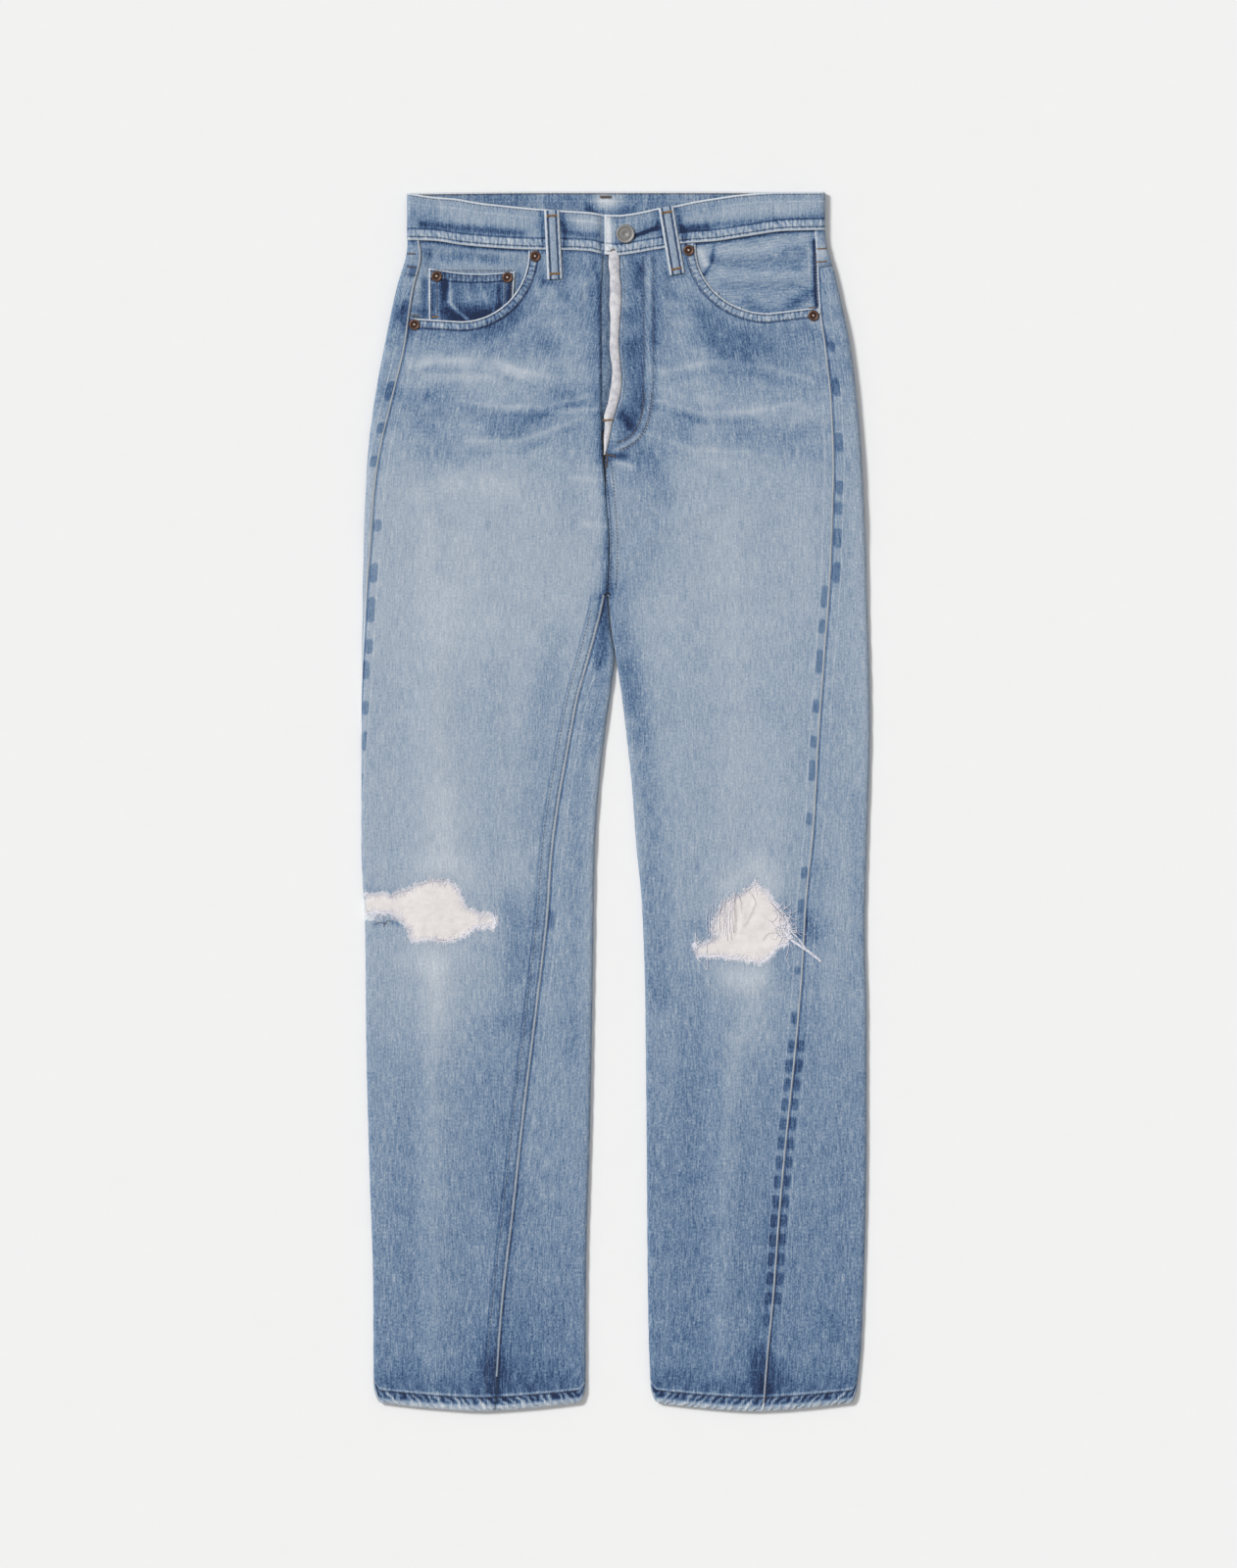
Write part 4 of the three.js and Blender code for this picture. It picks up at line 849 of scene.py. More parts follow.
def thread(name, light, dark):
    r = Recipe(name, Roughness=0.75, Sheen_Weight=0.15, Specular_IOR_Level=0.3)
    twist = r.in_space(900, 900)
    return r.finish(Base_Color=r.mix(twist.step(0.35, 0.65), dark, light))


# The brown is also used for short dark curves of painted shade under the left end of the right rip.
brown_thread_and_shade_lines = thread("dulled brown thread and painted shade lines", (112, 98, 92), (70, 64, 70))
gold_thread = thread("golden thread", (158, 122, 76), (104, 78, 54))
# The faded grey is also used for thin lines of painted shadow beside the curled threads in the left rip.
grey_thread_and_shadow_lines = thread("faded thread and painted shadow lines", (112, 110, 120), (72, 76, 94))


# %% Copper and grey metal
def metal(name, bright, dull, tarnish, roughness, scale):
    r = Recipe(name, Metallic=0.75)
    spots = r.in_space(scale, scale, 4.0, 0.6)
    rubbed = r.stored("rub")
    share = (rubbed + 0.7 * (spots - 0.5)).step(0.2, 0.9)
    body = r.mix(share, tarnish, dull)
    colour = r.mix((rubbed + 0.5 * (spots - 0.5)).step(0.75, 1.1), body, bright)
    rough = roughness + 0.25 * (spots - 0.5)
    return r.finish(Base_Color=colour, Roughness=rough, Normal=r.bump(spots, 0.00006))


copper = metal("old copper", (214, 192, 176), (122, 92, 76), (66, 49, 44), 0.5, 700)
grey_metal = metal("worn grey metal", (172, 170, 167), (156, 154, 151), (134, 132, 130), 0.6, 500)

# %% [markdown]
# ## Fronts, backs and yokes
# The four long panels and two yokes share one maker. Each is given by the leg it belongs to, the
# distances round that leg to its two long edges, and its lowest and highest row.
# The pocket mouths are quarter ellipses that run on to the side seam, and each front has its knee rip.

# %% Long edges of the panels
def in_seat(y):
    return y > CROTCH_Y + 1 * mm


def whole_round(leg, y):
    *_, quarter, flat = tube_size(leg, y)
    return 4 * quarter + 2 * flat


def seat_edge(leg, y):
    _, width, radius, quarter, _ = tube_size(leg, y)
    return quarter + width - radius


def inseam_right(y):
    return along_at(right, inseam_right_x(y), y)


def inseam_left(y):
    *_, quarter, flat = tube_size(left, y)
    return quarter + flat + inseam_left_wrap(y)


def outseam_left(y):
    return along_at(left, outseam_left_x(y), y)


SEAM = GAP / 2
YOKE_Y = 430 * mm
front_right_edges = lambda y: (
    outseam_right_along(y) + SEAM,
    np.where(in_seat(y), along_at(right, rise_line(y), y), inseam_right(y)) - SEAM)
front_left_edges = lambda y: (
    outseam_left(y) + SEAM, np.where(in_seat(y), along_at(left, fly_edge(y), y), inseam_left(y)) - SEAM)
back_right_edges = lambda y: (
    SEAM - np.where(in_seat(y), seat_edge(right, y), whole_round(right, y) - inseam_right(y)),
    outseam_right_along(y) - SEAM)
back_left_edges = lambda y: (
    SEAM - np.where(in_seat(y), seat_edge(left, y), whole_round(left, y) - inseam_left(y)),
    outseam_left(y) - SEAM)


# %% Pocket mouths and knee rips
def pocket_mouth(side, centre, across, deep, seam, stops=26):
    turn = np.linspace(0, math.pi / 2, stops)
    curve = np.stack([centre[0] - side * across * np.cos(turn), centre[1] - deep * np.sin(turn)], -1)
    return np.vstack([curve, [seam]]) * mm


mouth_right = pocket_mouth(-1, (-136, 482), 59.5, 61, (-176, 423.5))
mouth_left = pocket_mouth(1, (134, 487), 64, 59, (174, 433))


def above_mouth(mouth, side):
    """The mouth's curve closed round everything above and outside it, which is cut away."""
    up, away = 600 * mm, side * 260 * mm
    return np.vstack([[mouth[0, 0], up], mouth, [away, mouth[-1, 1]], [away, up]])


rip_right = [
    (-232, -81), (-221, -82), (-210, -82), (-204, -80.5), (-198, -84), (-191, -80), (-181, -77.5),
    (-175, -73.5), (-169, -72.5), (-163, -70), (-155.5, -69.5), (-149, -70.5), (-143, -73), (-138, -78),
    (-135.5, -85), (-132.5, -92.5), (-127, -95.5), (-122, -97.5), (-117, -99), (-112, -98), (-107, -101),
    (-105.5, -106), (-108, -112), (-112, -108), (-117, -112), (-122, -109), (-126.5, -113.5), (-131, -117),
    (-137, -119.5), (-144, -122), (-151, -123), (-158, -121.5), (-169, -121.5), (-176, -123), (-181, -120),
    (-180.5, -114), (-184.5, -108.5), (-189, -104), (-193, -100.5), (-199, -97.5), (-204, -98.5),
    (-210, -97), (-221, -99), (-232, -100),
]
rip_left = [
    (69, -124), (71, -129), (76, -125.5), (81, -124), (85, -121.5), (90, -118), (87, -116), (84, -113.5),
    (86, -106), (88.5, -101), (91, -97.5), (93, -92), (96, -88.5), (100, -86), (104, -83.5), (109, -83),
    (113, -79.5), (117, -77), (120, -74.5), (122.6, -71), (125.5, -75), (129, -76.5), (133, -79.5),
    (136, -84), (137.5, -87.5), (141, -92), (144, -97.5), (147, -101), (149.6, -104.5), (152, -109),
    (151.4, -113.5), (153, -119), (150.6, -123.5), (145, -127), (140, -129.5), (137, -134), (134, -137.5),
    (130, -140), (125.4, -142), (120, -139.5), (116, -140.5), (109, -138), (101, -138.5), (92, -135.5),
    (82.5, -136.5), (77, -134.5), (72, -136.5), (70, -131),
]
rip_right, rip_left = np.array(rip_right) * mm, np.array(rip_left) * mm


# %% Making a panel
SHELL = 1.1 * mm
MOUTH_BAND, FELLED_BAND = 8 * mm, 11 * mm
EDGE_REACH, MOUTH_REACH = 30 * mm, 24 * mm


def where_near(near, new, old):
    """Distance from an edge, distance along it and width of its band, replaced where a new band is near."""
    return [np.where(near, a, b) for a, b in zip(new, old)]


def make_panel(name, leg, low, high, edges, skew=None, cuts=(), rip=None, spacing=2.5, seams=(0, 0),
               felled=False, mouth=None, hemmed=True):
    """seams: for each long edge 1 for a seam, -1 for one with painted shade in the gap beside it, 0 for none.
    """
    rows_y = np.linspace(low, high, 60)
    start, stop = edges(rows_y)
    columns = int(np.max(stop - start) / (spacing * mm))
    rows = int((high - low) / (spacing * mm))
    mesh, share, up = grid_mesh(name, columns, rows)
    y = low + up * (high - low)
    start, stop = edges(y)
    along = start + share * (stop - start)
    if skew is not None:
        y = y + skew(tube_point(leg, along, y)[0][:, 0], y)
        start, stop = edges(y)
        along = start + share * (stop - start)
    drop = None
    for cut in cuts:
        plan, facing = tube_point(leg, along, y)
        closed = np.vstack([cut, cut[:1]])
        px, py = plan[:, 0], plan[:, 1]
        far, run, nx, ny = nearest_on(closed, px, py)
        snap = (far < 0.62 * spacing * mm) & (facing > 0.5)
        along = along + np.where(snap, (nx - px) * leg.inward, 0)
        y = y + np.where(snap, ny - py, 0)
        gone = (snap | inside(cut, px, py)) & (facing > 0.5)
        drop = gone if drop is None else drop | gone
    points, facing = tube_point(leg, along, y, 0.0, soft_relief)
    x, real_y = points[:, 0], points[:, 1]
    tone = front_tone(x, real_y) * facing + under_tone(x, real_y) * (1 - facing)
    fray = np.full(len(y), FAR)
    if rip is not None:
        fray = np.where(facing > 0.3, nearest_on(np.vstack([rip, rip[:1]]), x, real_y)[0], FAR)
    if leg is right:
        at_fold = (x < -211.5 * mm) & (np.abs(real_y + 96 * mm) < 10 * mm)
        fray = np.where(at_fold, 0.3 * mm, fray)
    band, seam = (FAR, 0.0, 0.0), np.full(len(y), FAR)
    for kind, far in zip(seams, (along - start, stop - along)):
        if kind:
            seam = np.where(far < np.abs(seam), kind * np.maximum(far, 0.02 * mm), seam)
    if felled:
        far = stop - along
        band = where_near((y < CROTCH_Y) & (far < EDGE_REACH), (far, y, FELLED_BAND), band)
    if hemmed:
        far = y - HEM_Y
        band = where_near(far < EDGE_REACH, (far, along, HEM_DEPTH), band)
    if mouth is not None:
        far, run, _, _ = nearest_on(mouth, x, real_y)
        near = (far < MOUTH_REACH) & (facing > 0.5) & (real_y > 380 * mm)
        band = where_near(near, (far, run, MOUTH_BAND), band)
    ladder = -brush(x, real_y, seam_squares) / DARKEST_SQUARE * facing
    numbers = {"tone": tone, "seam": seam, "fray": fray, "ladder": ladder,
               **dict(zip(("edge", "run", "band"), band))}
    write_points(mesh, points, np.stack([along, y], -1), numbers)
    trim(mesh, drop, flip=leg is left)
    piece = put(name, mesh, (denim_face, denim_inner), name, thickness=SHELL, inner=1)
    start, stop = edges(rows_y)
    declare(piece, stop - start, high - low)


to_yoke = lambda x, y: (yoke_seam(x) - YOKE_Y) * smooth_step(345 * mm, YOKE_Y - GAP, y)
from_yoke = lambda x, y: (yoke_seam(x) - YOKE_Y) * (1 - smooth_step(YOKE_Y, BAND_ROW, y))

make_panel("front_right", right, HEM_Y, BAND_ROW, front_right_edges, rip=rip_right, mouth=mouth_right,
           cuts=(above_mouth(mouth_right, -1), rip_right), felled=True, seams=(-1, 0))
make_panel("front_left", left, HEM_Y, BAND_ROW, front_left_edges, rip=rip_left, mouth=mouth_left,
           cuts=(above_mouth(mouth_left, 1), rip_left), seams=(1, 0))
make_panel("back_right", right, HEM_Y, YOKE_Y - GAP, back_right_edges, skew=to_yoke, seams=(-1, 1),
           spacing=3.2)
make_panel("back_left", left, HEM_Y, YOKE_Y - GAP, back_left_edges, skew=to_yoke, seams=(0, -1), spacing=3.2)
make_panel("yoke_right", right, YOKE_Y, BAND_ROW, back_right_edges, skew=from_yoke, hemmed=False,
           seams=(0, 1))
make_panel("yoke_left", left, YOKE_Y, BAND_ROW, back_left_edges, skew=from_yoke, hemmed=False)

# %% [markdown]
# ## Waistband
# The band is one long strip folded double. It starts under the fly, goes all the way round and laps over
# itself at the button. Between its two layers lie the turnings of the panels, which make the puckered
# ridge along its lower edge. At the front it dips, so the inner face of the back shows above it.

# %% Path of the band
BAND_STEP = BAND_CLOTH + GAP
LAP_X = -9.9 * mm


def band_path(step=1.7 * mm):
    centre = float(rise_line(BAND_Y))
    under_x = np.arange(26 * mm, -16 * mm, -step)
    is_left = under_x > centre
    under = np.where(is_left, along_at(left, under_x, BAND_Y), along_at(right, under_x, BAND_Y))
    drop = BAND_STEP * smooth_step(-16 * mm, -11.5 * mm, under_x)
    stretches = [(is_left, under, drop)]
    for leg, first, last in (
            (right, along_at(right, -16 * mm, BAND_Y), -along_at(right, centre, BAND_Y)),
            (left, -along_at(left, centre, BAND_Y), along_at(left, LAP_X, BAND_Y))):
        count = int(abs(last - first) / step)
        places = np.linspace(first, last, count + 1)[1:]
        stretches.append((np.full(count, leg is left), places, np.zeros(count)))
    return [np.concatenate(parts) for parts in zip(*stretches)]


band_left, band_along, band_drop = band_path()
# Fade on the front of the band, with painted shade in thin lines beside the two front belt loops and a dark
# slit of painted shade at the buttonhole.
band_fade_and_shade = [
    (-0.26, 3.6, (-170, 506), (-130, 502), (-82, 498)), (-0.22, 3, (-44, 500), (-26, 496), (-12, 497)),
    (-0.13, 2.6, (58, 502), (96, 506), (138, 510), (184, 513)), (-0.1, 6, (-2, 511), (5, 510)),
    (-0.2, 4.4, (60, 502.5), (80, 503)), (0.08, 4, (-42, 510), (-16, 508)), (-0.1, 4, (-58, 508), (-40, 506)),
    (-0.06, 7, (-176, 512), (-160, 514)), (0.04, 8, (-150, 519), (-110, 512), (-80, 508)),
    (-0.07, 7, (26, 508), (38, 506)), (0.05, 6, (64, 512), (120, 520), (176, 524)),
    (-0.06, 5, (62, 517), (84, 520)), (-0.6, 1.3, (15, 495.2), (24, 498.4), (36, 502.6)),
    (-0.14, 3.4, (14, 494), (26, 499.5), (38, 504)), (0.09, 3, (40, 512), (52, 516)),
    (-0.2, 3, (-65, 516), (-62.6, 486)), (-0.26, 3, (-47, 514), (-44.6, 486)),
    (-0.2, 3, (35.4, 519), (42, 488)), (-0.26, 3, (53.2, 519), (60.6, 491)),
    (0.3, 3.0, (-6.8, 514), (-6.4, 478)), (-0.1, 4, (3, 497), (3, 488)),
]
# Fade on the inner face of the back of the band; the dark stroke just above the front's top edge is partly
# painted shade from that edge and partly darker cloth.
band_inner_fade_and_shade = [
    (-0.16, 3.4, (-22, 518), (-8, 516.5), (14, 518)), (-0.08, 6, (-60, 526), (-36, 528)),
    (0.12, 7, (-15, 526), (0, 526)), (0.1, 5, (-66, 532), (-66, 521)), (0.12, 8, (-8, 529), (-8, 520)),
    (-0.06, 5, (-26, 529), (-22, 520)), (-0.07, 8, (-110, 529), (-88, 527)),
    (-0.05, 7, (20, 528), (40, 527)), (0.05, 9, (60, 530), (76, 528)), (0.04, 6, (-46, 528), (-36, 524)),
]


# %% Weave the band
band_dips = [
    (0.35, 3, (-170, 505.5), (-82, 498)), (0.35, 3, (58, 502), (138, 510), (184, 513)),
    (0.7, 1.4, (15, 495.6), (24, 499), (36, 503.4))]
band_inner = denim("inner face of the waistband", offset=-0.045, contrast=1.1)


def make_band():
    mesh, share, up = grid_mesh("waistband", len(band_along) - 1, 25)
    column = np.rint(share * (len(band_along) - 1)).astype(int)
    is_left, along, drop = band_left[column], band_along[column], band_drop[column]
    out = BAND_PROUD - drop
    on_left, on_right = (tube_point(leg, along, BAND_Y, out, soft_relief)[0] for leg in (left, right))
    points = np.where(is_left[:, None], on_left, on_right)
    x, front = points[:, 0], along >= 0
    foot = np.where(front, band_foot_front(x), band_foot_back(x))
    head = np.where(front, band_head_front(x), band_head_back(x))
    points[:, 1] = foot + up * (head - foot)
    y = points[:, 1]
    shown = front & (drop < 1 * mm)
    inner_tone = 0.56 + brush(x, y, band_inner_fade_and_shade) + 0.05 * cloud(x, y, 7 * mm, 23.0)
    tone = np.where(shown, 0.59 + brush(x, y, band_fade_and_shade), inner_tone) + 0.03 * cloud(x, y, 16 * mm, 21.0)
    points[:, 2] -= np.where(shown, brush(x, y, band_dips) * mm, 0)
    length = float(np.hypot(*np.diff(points[:len(band_along)], axis=0)[:, :2].T).sum())
    end = np.where(shown & (x > LAP_X - 0.1 * mm) & (x < 2 * mm) & is_left, np.abs(x - LAP_X), FAR)
    numbers = {"tone": tone, "edge": y - foot, "run": x, "band": 9.5 * mm, "seam": np.minimum(head - y, end)}
    write_points(mesh, points, np.stack([share * length, y], -1), numbers)
    trim(mesh, None, flip=True)
    band = put("waistband", mesh, (denim_face, band_inner), "waistband", thickness=2.0 * mm, inner=1)
    declare(band, [41 * mm], length)


make_band()

# %% [markdown]
# ## Pocket facings and the coin pocket
# Behind each mouth is a facing, the piece of denim that fills the opening. The coin pocket is a small
# patch on the wearer's right one, with a hem along its top and two rows of stitches down each side.
# Both are made from the front's own points, moved down by one or two layers of cloth.

# %% Patches under the front
FRONT_LAYER = CLOTH + GAP


def lying(x, y, out=0.0):
    """Points of the front at real places, by stepping back from where the dip at the waist puts them."""
    x, y = np.broadcast_arrays(np.asarray(x, float), np.asarray(y, float))
    nominal = y.copy()
    for _ in range(6):
        nominal = nominal - (front_point(x, nominal)[..., 1] - y)
    points = front_point(x, nominal, out, soft_relief)
    points[..., 0], points[..., 1] = x, y
    return points


def upright(x):
    """A patch's edge that runs straight up at x."""
    return lambda y: x * mm + 0 * y


def make_patch(name, left_x, right_x, low, high, depth, tone, spacing=1.6, numbers=None, lift=None,
               skew=None, weft_up=False, materials=None, stands_in=True, thickness=1.0):
    wide = right_x(high) - left_x(high)
    mesh, share, up = grid_mesh(name, int(wide / (spacing * mm)), int((high - low) / (spacing * mm)))
    y = low + up * (high - low)
    x0, x1 = left_x(y), right_x(y)
    x = x0 + share * (x1 - x0)
    points = front_point(x, y, 0 * x - depth, soft_relief)
    if lift is not None:
        points[:, 2] += lift(points[:, 0], points[:, 1])
    if skew is not None:
        points[:, 1] += skew(points[:, 0], points[:, 1])
    stored = {"tone": tone(points[:, 0], points[:, 1]), **(numbers(x, y, x0, x1) if numbers else {})}
    write_points(mesh, points, np.stack([y, x] if weft_up else [x, y], -1), stored)
    trim(mesh, None, flip=False)
    piece = put(name, mesh, materials or (denim_face, denim_inner), name if stands_in else None,
                thickness=thickness * mm, inner=1)
    declare(piece, [wide], high - low)


facing_strokes_right = [
    (-0.1, 4, (-152, 477), (-124, 478), (-94, 472)), (0.06, 5, (-150, 468), (-90, 469)),
    (-0.2, 3.4, (-167.5, 456), (-167.5, 424)), (-0.14, 3, (-84.5, 462), (-84, 446)),
    (-0.16, 4, (-166, 481), (-164, 479)), (0.05, 5, (-176, 478), (-172, 440)),
    (-0.1, 4, (-176, 432), (-170, 430)), (0.07, 4, (-82, 474), (-80, 484)),
    (0.06, 3, (-120, 484), (-90, 480)),
]
facing_strokes_left = [
    (-0.3, 1.7, (174, 492), (174.6, 470), (175, 450), (176.4, 432)), (-0.05, 9, (150, 482), (170, 486)),
    (0.05, 5, (84, 484), (120, 484), (160, 492)), (-0.05, 5, (84, 474), (120, 472), (160, 470)),
    (0.03, 6, (90, 462), (160, 460)), (-0.04, 5, (96, 452), (160, 452)), (-0.12, 5, (150, 432), (170, 446)),
    (-0.07, 3, (108, 434), (118, 442)), (0.12, 4, (74, 482), (80, 470)),
    (-0.18, 1.6, (86, 486), (84, 472), (76, 460)), (-0.08, 4, (120, 432), (140, 430)),
    (0.05, 4, (164, 498), (170, 480)),
]
pleats = [
    (0.5, 4, (84, 478), (130, 480), (164, 486)), (-0.4, 5, (90, 468), (160, 472)),
    (0.4, 5, (96, 458), (168, 460)), (-0.4, 4, (104, 448), (168, 450)), (0.5, 3, (108, 430), (120, 446)),
    (0.4, 4, (150, 430), (172, 446)), (0.5, 4, (-150, 472), (-90, 470)),
]
UNDER_BAND = SEAT_TOP_Y - 2 * mm


def meet_neighbours(outseam_x, side, depth):
    """Lifts a facing where it runs under the waistband and under the edge of the back."""
    def lift(x, y):
        to_band = smooth_step(-13 * mm, -3 * mm, y - band_foot_front(x))
        to_back = smooth_step(-9 * mm, -1 * mm, side * (x - outseam_x(y)))
        return (depth - 1.55 * mm) * np.maximum(to_band, to_back) + brush(x, y, pleats) * mm * (1 - to_band)
    return lift


# Painted shade: a dark line on the facings just below the foot of the waistband.
def shade_under_band(x, y):
    return -0.26 * np.exp(-(((band_foot_front(x) - 1.2 * mm - y) / (1.5 * mm)) ** 2))


def facing_tone_right(x, y):
    return 0.56 + brush(x, y, facing_strokes_right) + 0.03 * cloud(x, y, 12 * mm, 31.0) + shade_under_band(x, y)


def facing_tone_left(x, y):
    mottled = 0.02 * cloud(x * 0.5, y, 6 * mm, 33.0)
    return 0.575 + 1.5 * brush(x, y, facing_strokes_left) + mottled + shade_under_band(x, y)


make_patch(
    "pocket_facing_right", lambda y: outseam_right_x(y) - 3 * mm, upright(-62), 406 * mm,
    UNDER_BAND + 4 * mm, 2 * FRONT_LAYER, facing_tone_right,
    lift=meet_neighbours(outseam_right_x, -1, 2 * FRONT_LAYER))
make_patch(
    "pocket_facing_left", upright(56), lambda y: outseam_left_x(y) + 3 * mm, 415 * mm,
    UNDER_BAND + 4 * mm, FRONT_LAYER, facing_tone_left, weft_up=True,
    lift=meet_neighbours(outseam_left_x, 1, FRONT_LAYER),
    numbers=lambda x, y, x0, x1: {"seam": np.maximum(x1 - x - 3 * mm, 0.02 * mm)})

# %% Coin pocket
COIN_TOP = 467.5 * mm
coin_strokes = [
    (-0.18, 3.2, (-149, 455), (-150, 442)), (-0.12, 6, (-140, 430), (-112, 427)),
    (-0.18, 2.2, (-102.5, 452), (-102.5, 432)), (-0.2, 2.6, (-90.5, 452), (-91.5, 434)),
    (0.06, 2.2, (-97, 454), (-98, 432)), (0.32, 1.6, (-145.5, 457), (-145, 437), (-140, 431), (-128, 421)),
    (0.1, 2, (-120, 454), (-112, 437)), (0.08, 2, (-134, 455), (-128, 440)),
    (-0.12, 8, (-140, 424), (-110, 426), (-96, 440)), (-0.1, 4, (-154, 454), (-150, 432)),
    (0.08, 6, (-132, 441), (-104, 442)), (-0.14, 3, (-94, 452), (-92, 436)),
    (-0.08, 3, (-161, 450), (-161, 424)), (0.06, 3, (-156.5, 446), (-156.5, 426)),
    (-0.12, 5, (-150, 461), (-148, 452)), (-0.12, 5, (-150, 428), (-136, 422)),
    (-0.1, 5, (-128, 421), (-106, 425)),
]


def coin_numbers(x, y, x0, x1):
    return {"edge": COIN_TOP - y, "run": x, "band": 8.5 * mm, "seam": np.minimum(x - x0, x1 - x)}


def coin_sag(x, y):
    t = (x + 164 * mm) / (75.5 * mm)
    dip = np.where(y > 440 * mm, (2 * t - 2.5 * np.sin(math.pi * t)) * mm, 0)
    return dip * smooth_step(440 * mm, 460 * mm, y)


coin_creases = [(0.5, 1.8, (-145.5, 457), (-145, 437), (-128, 421)), (0.4, 3, (-120, 454), (-112, 437))]
make_patch(
    "coin_pocket", upright(-164), lambda y: -88.5 * mm - (466 * mm - y) * 0.06, 407 * mm, COIN_TOP,
    FRONT_LAYER, lambda x, y: 0.41 + brush(x, y, coin_strokes) + 0.04 * cloud(x, y, 7 * mm, 41.0),
    spacing=1.2, numbers=coin_numbers, skew=coin_sag, lift=lambda x, y: brush(x, y, coin_creases) * mm)

# %% [markdown]
# ## The fly
# The wearer's left front laps over the right. The edge of the facing beneath has rolled outwards with
# wear and lost its colour, and it shows as a soft white cord beside the lapped edge.

# %% Rolled facing and the extension under it
def make_strip(name, profile, low, high, rows, materials, tone):
    """profile(y) gives lists of x and of depth below the front's face, one for each column."""
    columns = len(profile(np.array([low]))[0])
    mesh, share, up = grid_mesh(name, columns - 1, rows)
    y = low + up * (high - low)
    column = np.rint(share * (columns - 1)).astype(int)
    xs, depths = profile(y)
    x = np.choose(column, xs)
    points = front_point(x, y, -np.choose(column, depths), soft_relief)
    write_points(mesh, points, np.stack([x, y], -1), {"tone": tone})
    trim(mesh, None, flip=False)
    piece = put(name, mesh, materials, name, thickness=1 * mm)
    declare(piece, [np.max(np.ptp(xs, axis=0))], high - low)


facing_edge = smooth_line((304, -2), (325, 20), (350, 33), (478, 36))


def roll_profile(y):
    first, last = roll_edge(y), fly_edge(y) - 0.2 * mm
    shares = np.linspace(0, 1, 11)
    pinch = 0.35 * mm * np.sin(y / (9 * mm)) + 0.25 * mm * np.sin(y / (3.7 * mm))
    xs = [first + s * (last - first) + pinch * (1 - s) for s in shares]
    depths = [(1.0 - 2.1 * math.sin(math.pi * min(1, 0.08 + 0.92 * s)) ** 0.6) * mm + 0 * y for s in shares]
    xs += [last + 0.1 * mm, last + 8 * mm, facing_edge(y) + 2 * mm]
    depths += [FRONT_LAYER + 0 * y] * 3
    return xs, depths


def extension_profile(y):
    roll = roll_edge(y)
    xs = [-30 * mm + 0 * y, roll - 10 * mm, roll - 3 * mm, roll - 1.5 * mm, roll + 8 * mm, 22 * mm + 0 * y]
    depths = [FRONT_LAYER] * 3 + [2 * FRONT_LAYER] * 3
    return xs, [d + 0 * y for d in depths]


make_strip("fly_facing", roll_profile, 304 * mm, 496 * mm, 120, (worn_roll, worn_roll), 0.85)
make_strip("fly_extension", extension_profile, 325 * mm, 495 * mm, 60, (denim_face, denim_inner), 0.5)

# %% [markdown]
# ## Belt loops and back pockets
# A belt loop is a narrow strip folded so that both edges meet behind, with two rows of stitches, and is
# tacked at both ends with dense golden bars. Two show at the front; the other three are on the back of
# the band. The two back pockets are plain patches with a pointed foot, hidden by lying on them.

# %% Belt loops
LOOP_WIDTH = 13.3 * mm
LOOP_COLUMNS, LOOP_ROWS = 12, 48


def level(height):
    """A face that lies flat at one height."""
    return lambda x, y: 0 * x + height


def make_loop(name, head, foot, band_foot, face_z, outward):
    head, foot = np.array(head) * mm, np.array(foot) * mm
    length = float(np.hypot(*(head - foot)))
    mesh, share, up = grid_mesh(name, LOOP_COLUMNS, LOOP_ROWS)
    across = share - 0.5
    along_it = (head - foot) / length
    beside = np.array([along_it[1], -along_it[0]])
    spine = foot + up[:, None] * (head - foot)
    plan = spine + (across * LOOP_WIDTH)[:, None] * beside
    over = (float(band_foot(head[0])) - foot[1]) / (head[1] - foot[1])
    rest = GAP + BAND_PROUD * smooth_step(over - 0.22, over - 0.04, up)
    round_edge = -0.55 * mm * np.abs(2 * across) ** 4 + 0.25 * mm * np.cos(across * 6 * math.pi)
    ends = -0.5 * mm * (np.exp(-up / 0.012) + np.exp(-(1 - up) / 0.012))
    bumps = 0.12 * mm * cloud(spine[:, 0] + across, up * 0.06, 5 * mm, 3.0)
    rest = rest + 1.35 * mm + round_edge + ends + bumps
    points = np.column_stack([plan, face_z(spine[:, 0], spine[:, 1]) + outward * rest])
    stored = {"tone": 0.63 + 0.05 * cloud(across * 0.02, up * 0.06, 3.5 * mm, 51.0),
              "edge": (0.5 - np.abs(across)) * LOOP_WIDTH, "run": up * length, "band": 2.6 * mm}
    write_points(mesh, points, np.stack([across * LOOP_WIDTH, up * length], -1), stored)
    trim(mesh, None, flip=outward < 0)
    piece = put(name, mesh, (denim_face, denim_inner), name, thickness=SHELL, inner=1)
    declare(piece, [LOOP_WIDTH], length)
    rows = points.reshape(LOOP_ROWS + 1, LOOP_COLUMNS + 1, 3)
    loop_rows[name] = [rows[2:-2, column] + (0, 0, outward * 0.1 * mm) for column in (3, 9)]
    loop_ends[name] = [rows[row, [1, 11]] + (0, 0, outward * 0.15 * mm) for row in (4, -5)]


loop_rows, loop_ends = {}, {}
under_seat = level(SEAT_LIFT)
for name, head, foot in (("front_right", (-56.2, 518.4), (-53.3, 457.6)),
                         ("front_left", (43.9, 521.4), (54, 462))):
    make_loop("belt_loop_" + name, head, foot, band_foot_front, lambda x, y: lying(x, y)[..., 2], 1)
for name, head, foot in (("back_right", (-118, 533), (-119, 472)), ("back_centre", (-9, 534), (-9, 473)),
                         ("back_left", (104, 533.5), (105, 473))):
    make_loop("belt_loop_" + name, head, foot, band_foot_back, under_seat, -1)


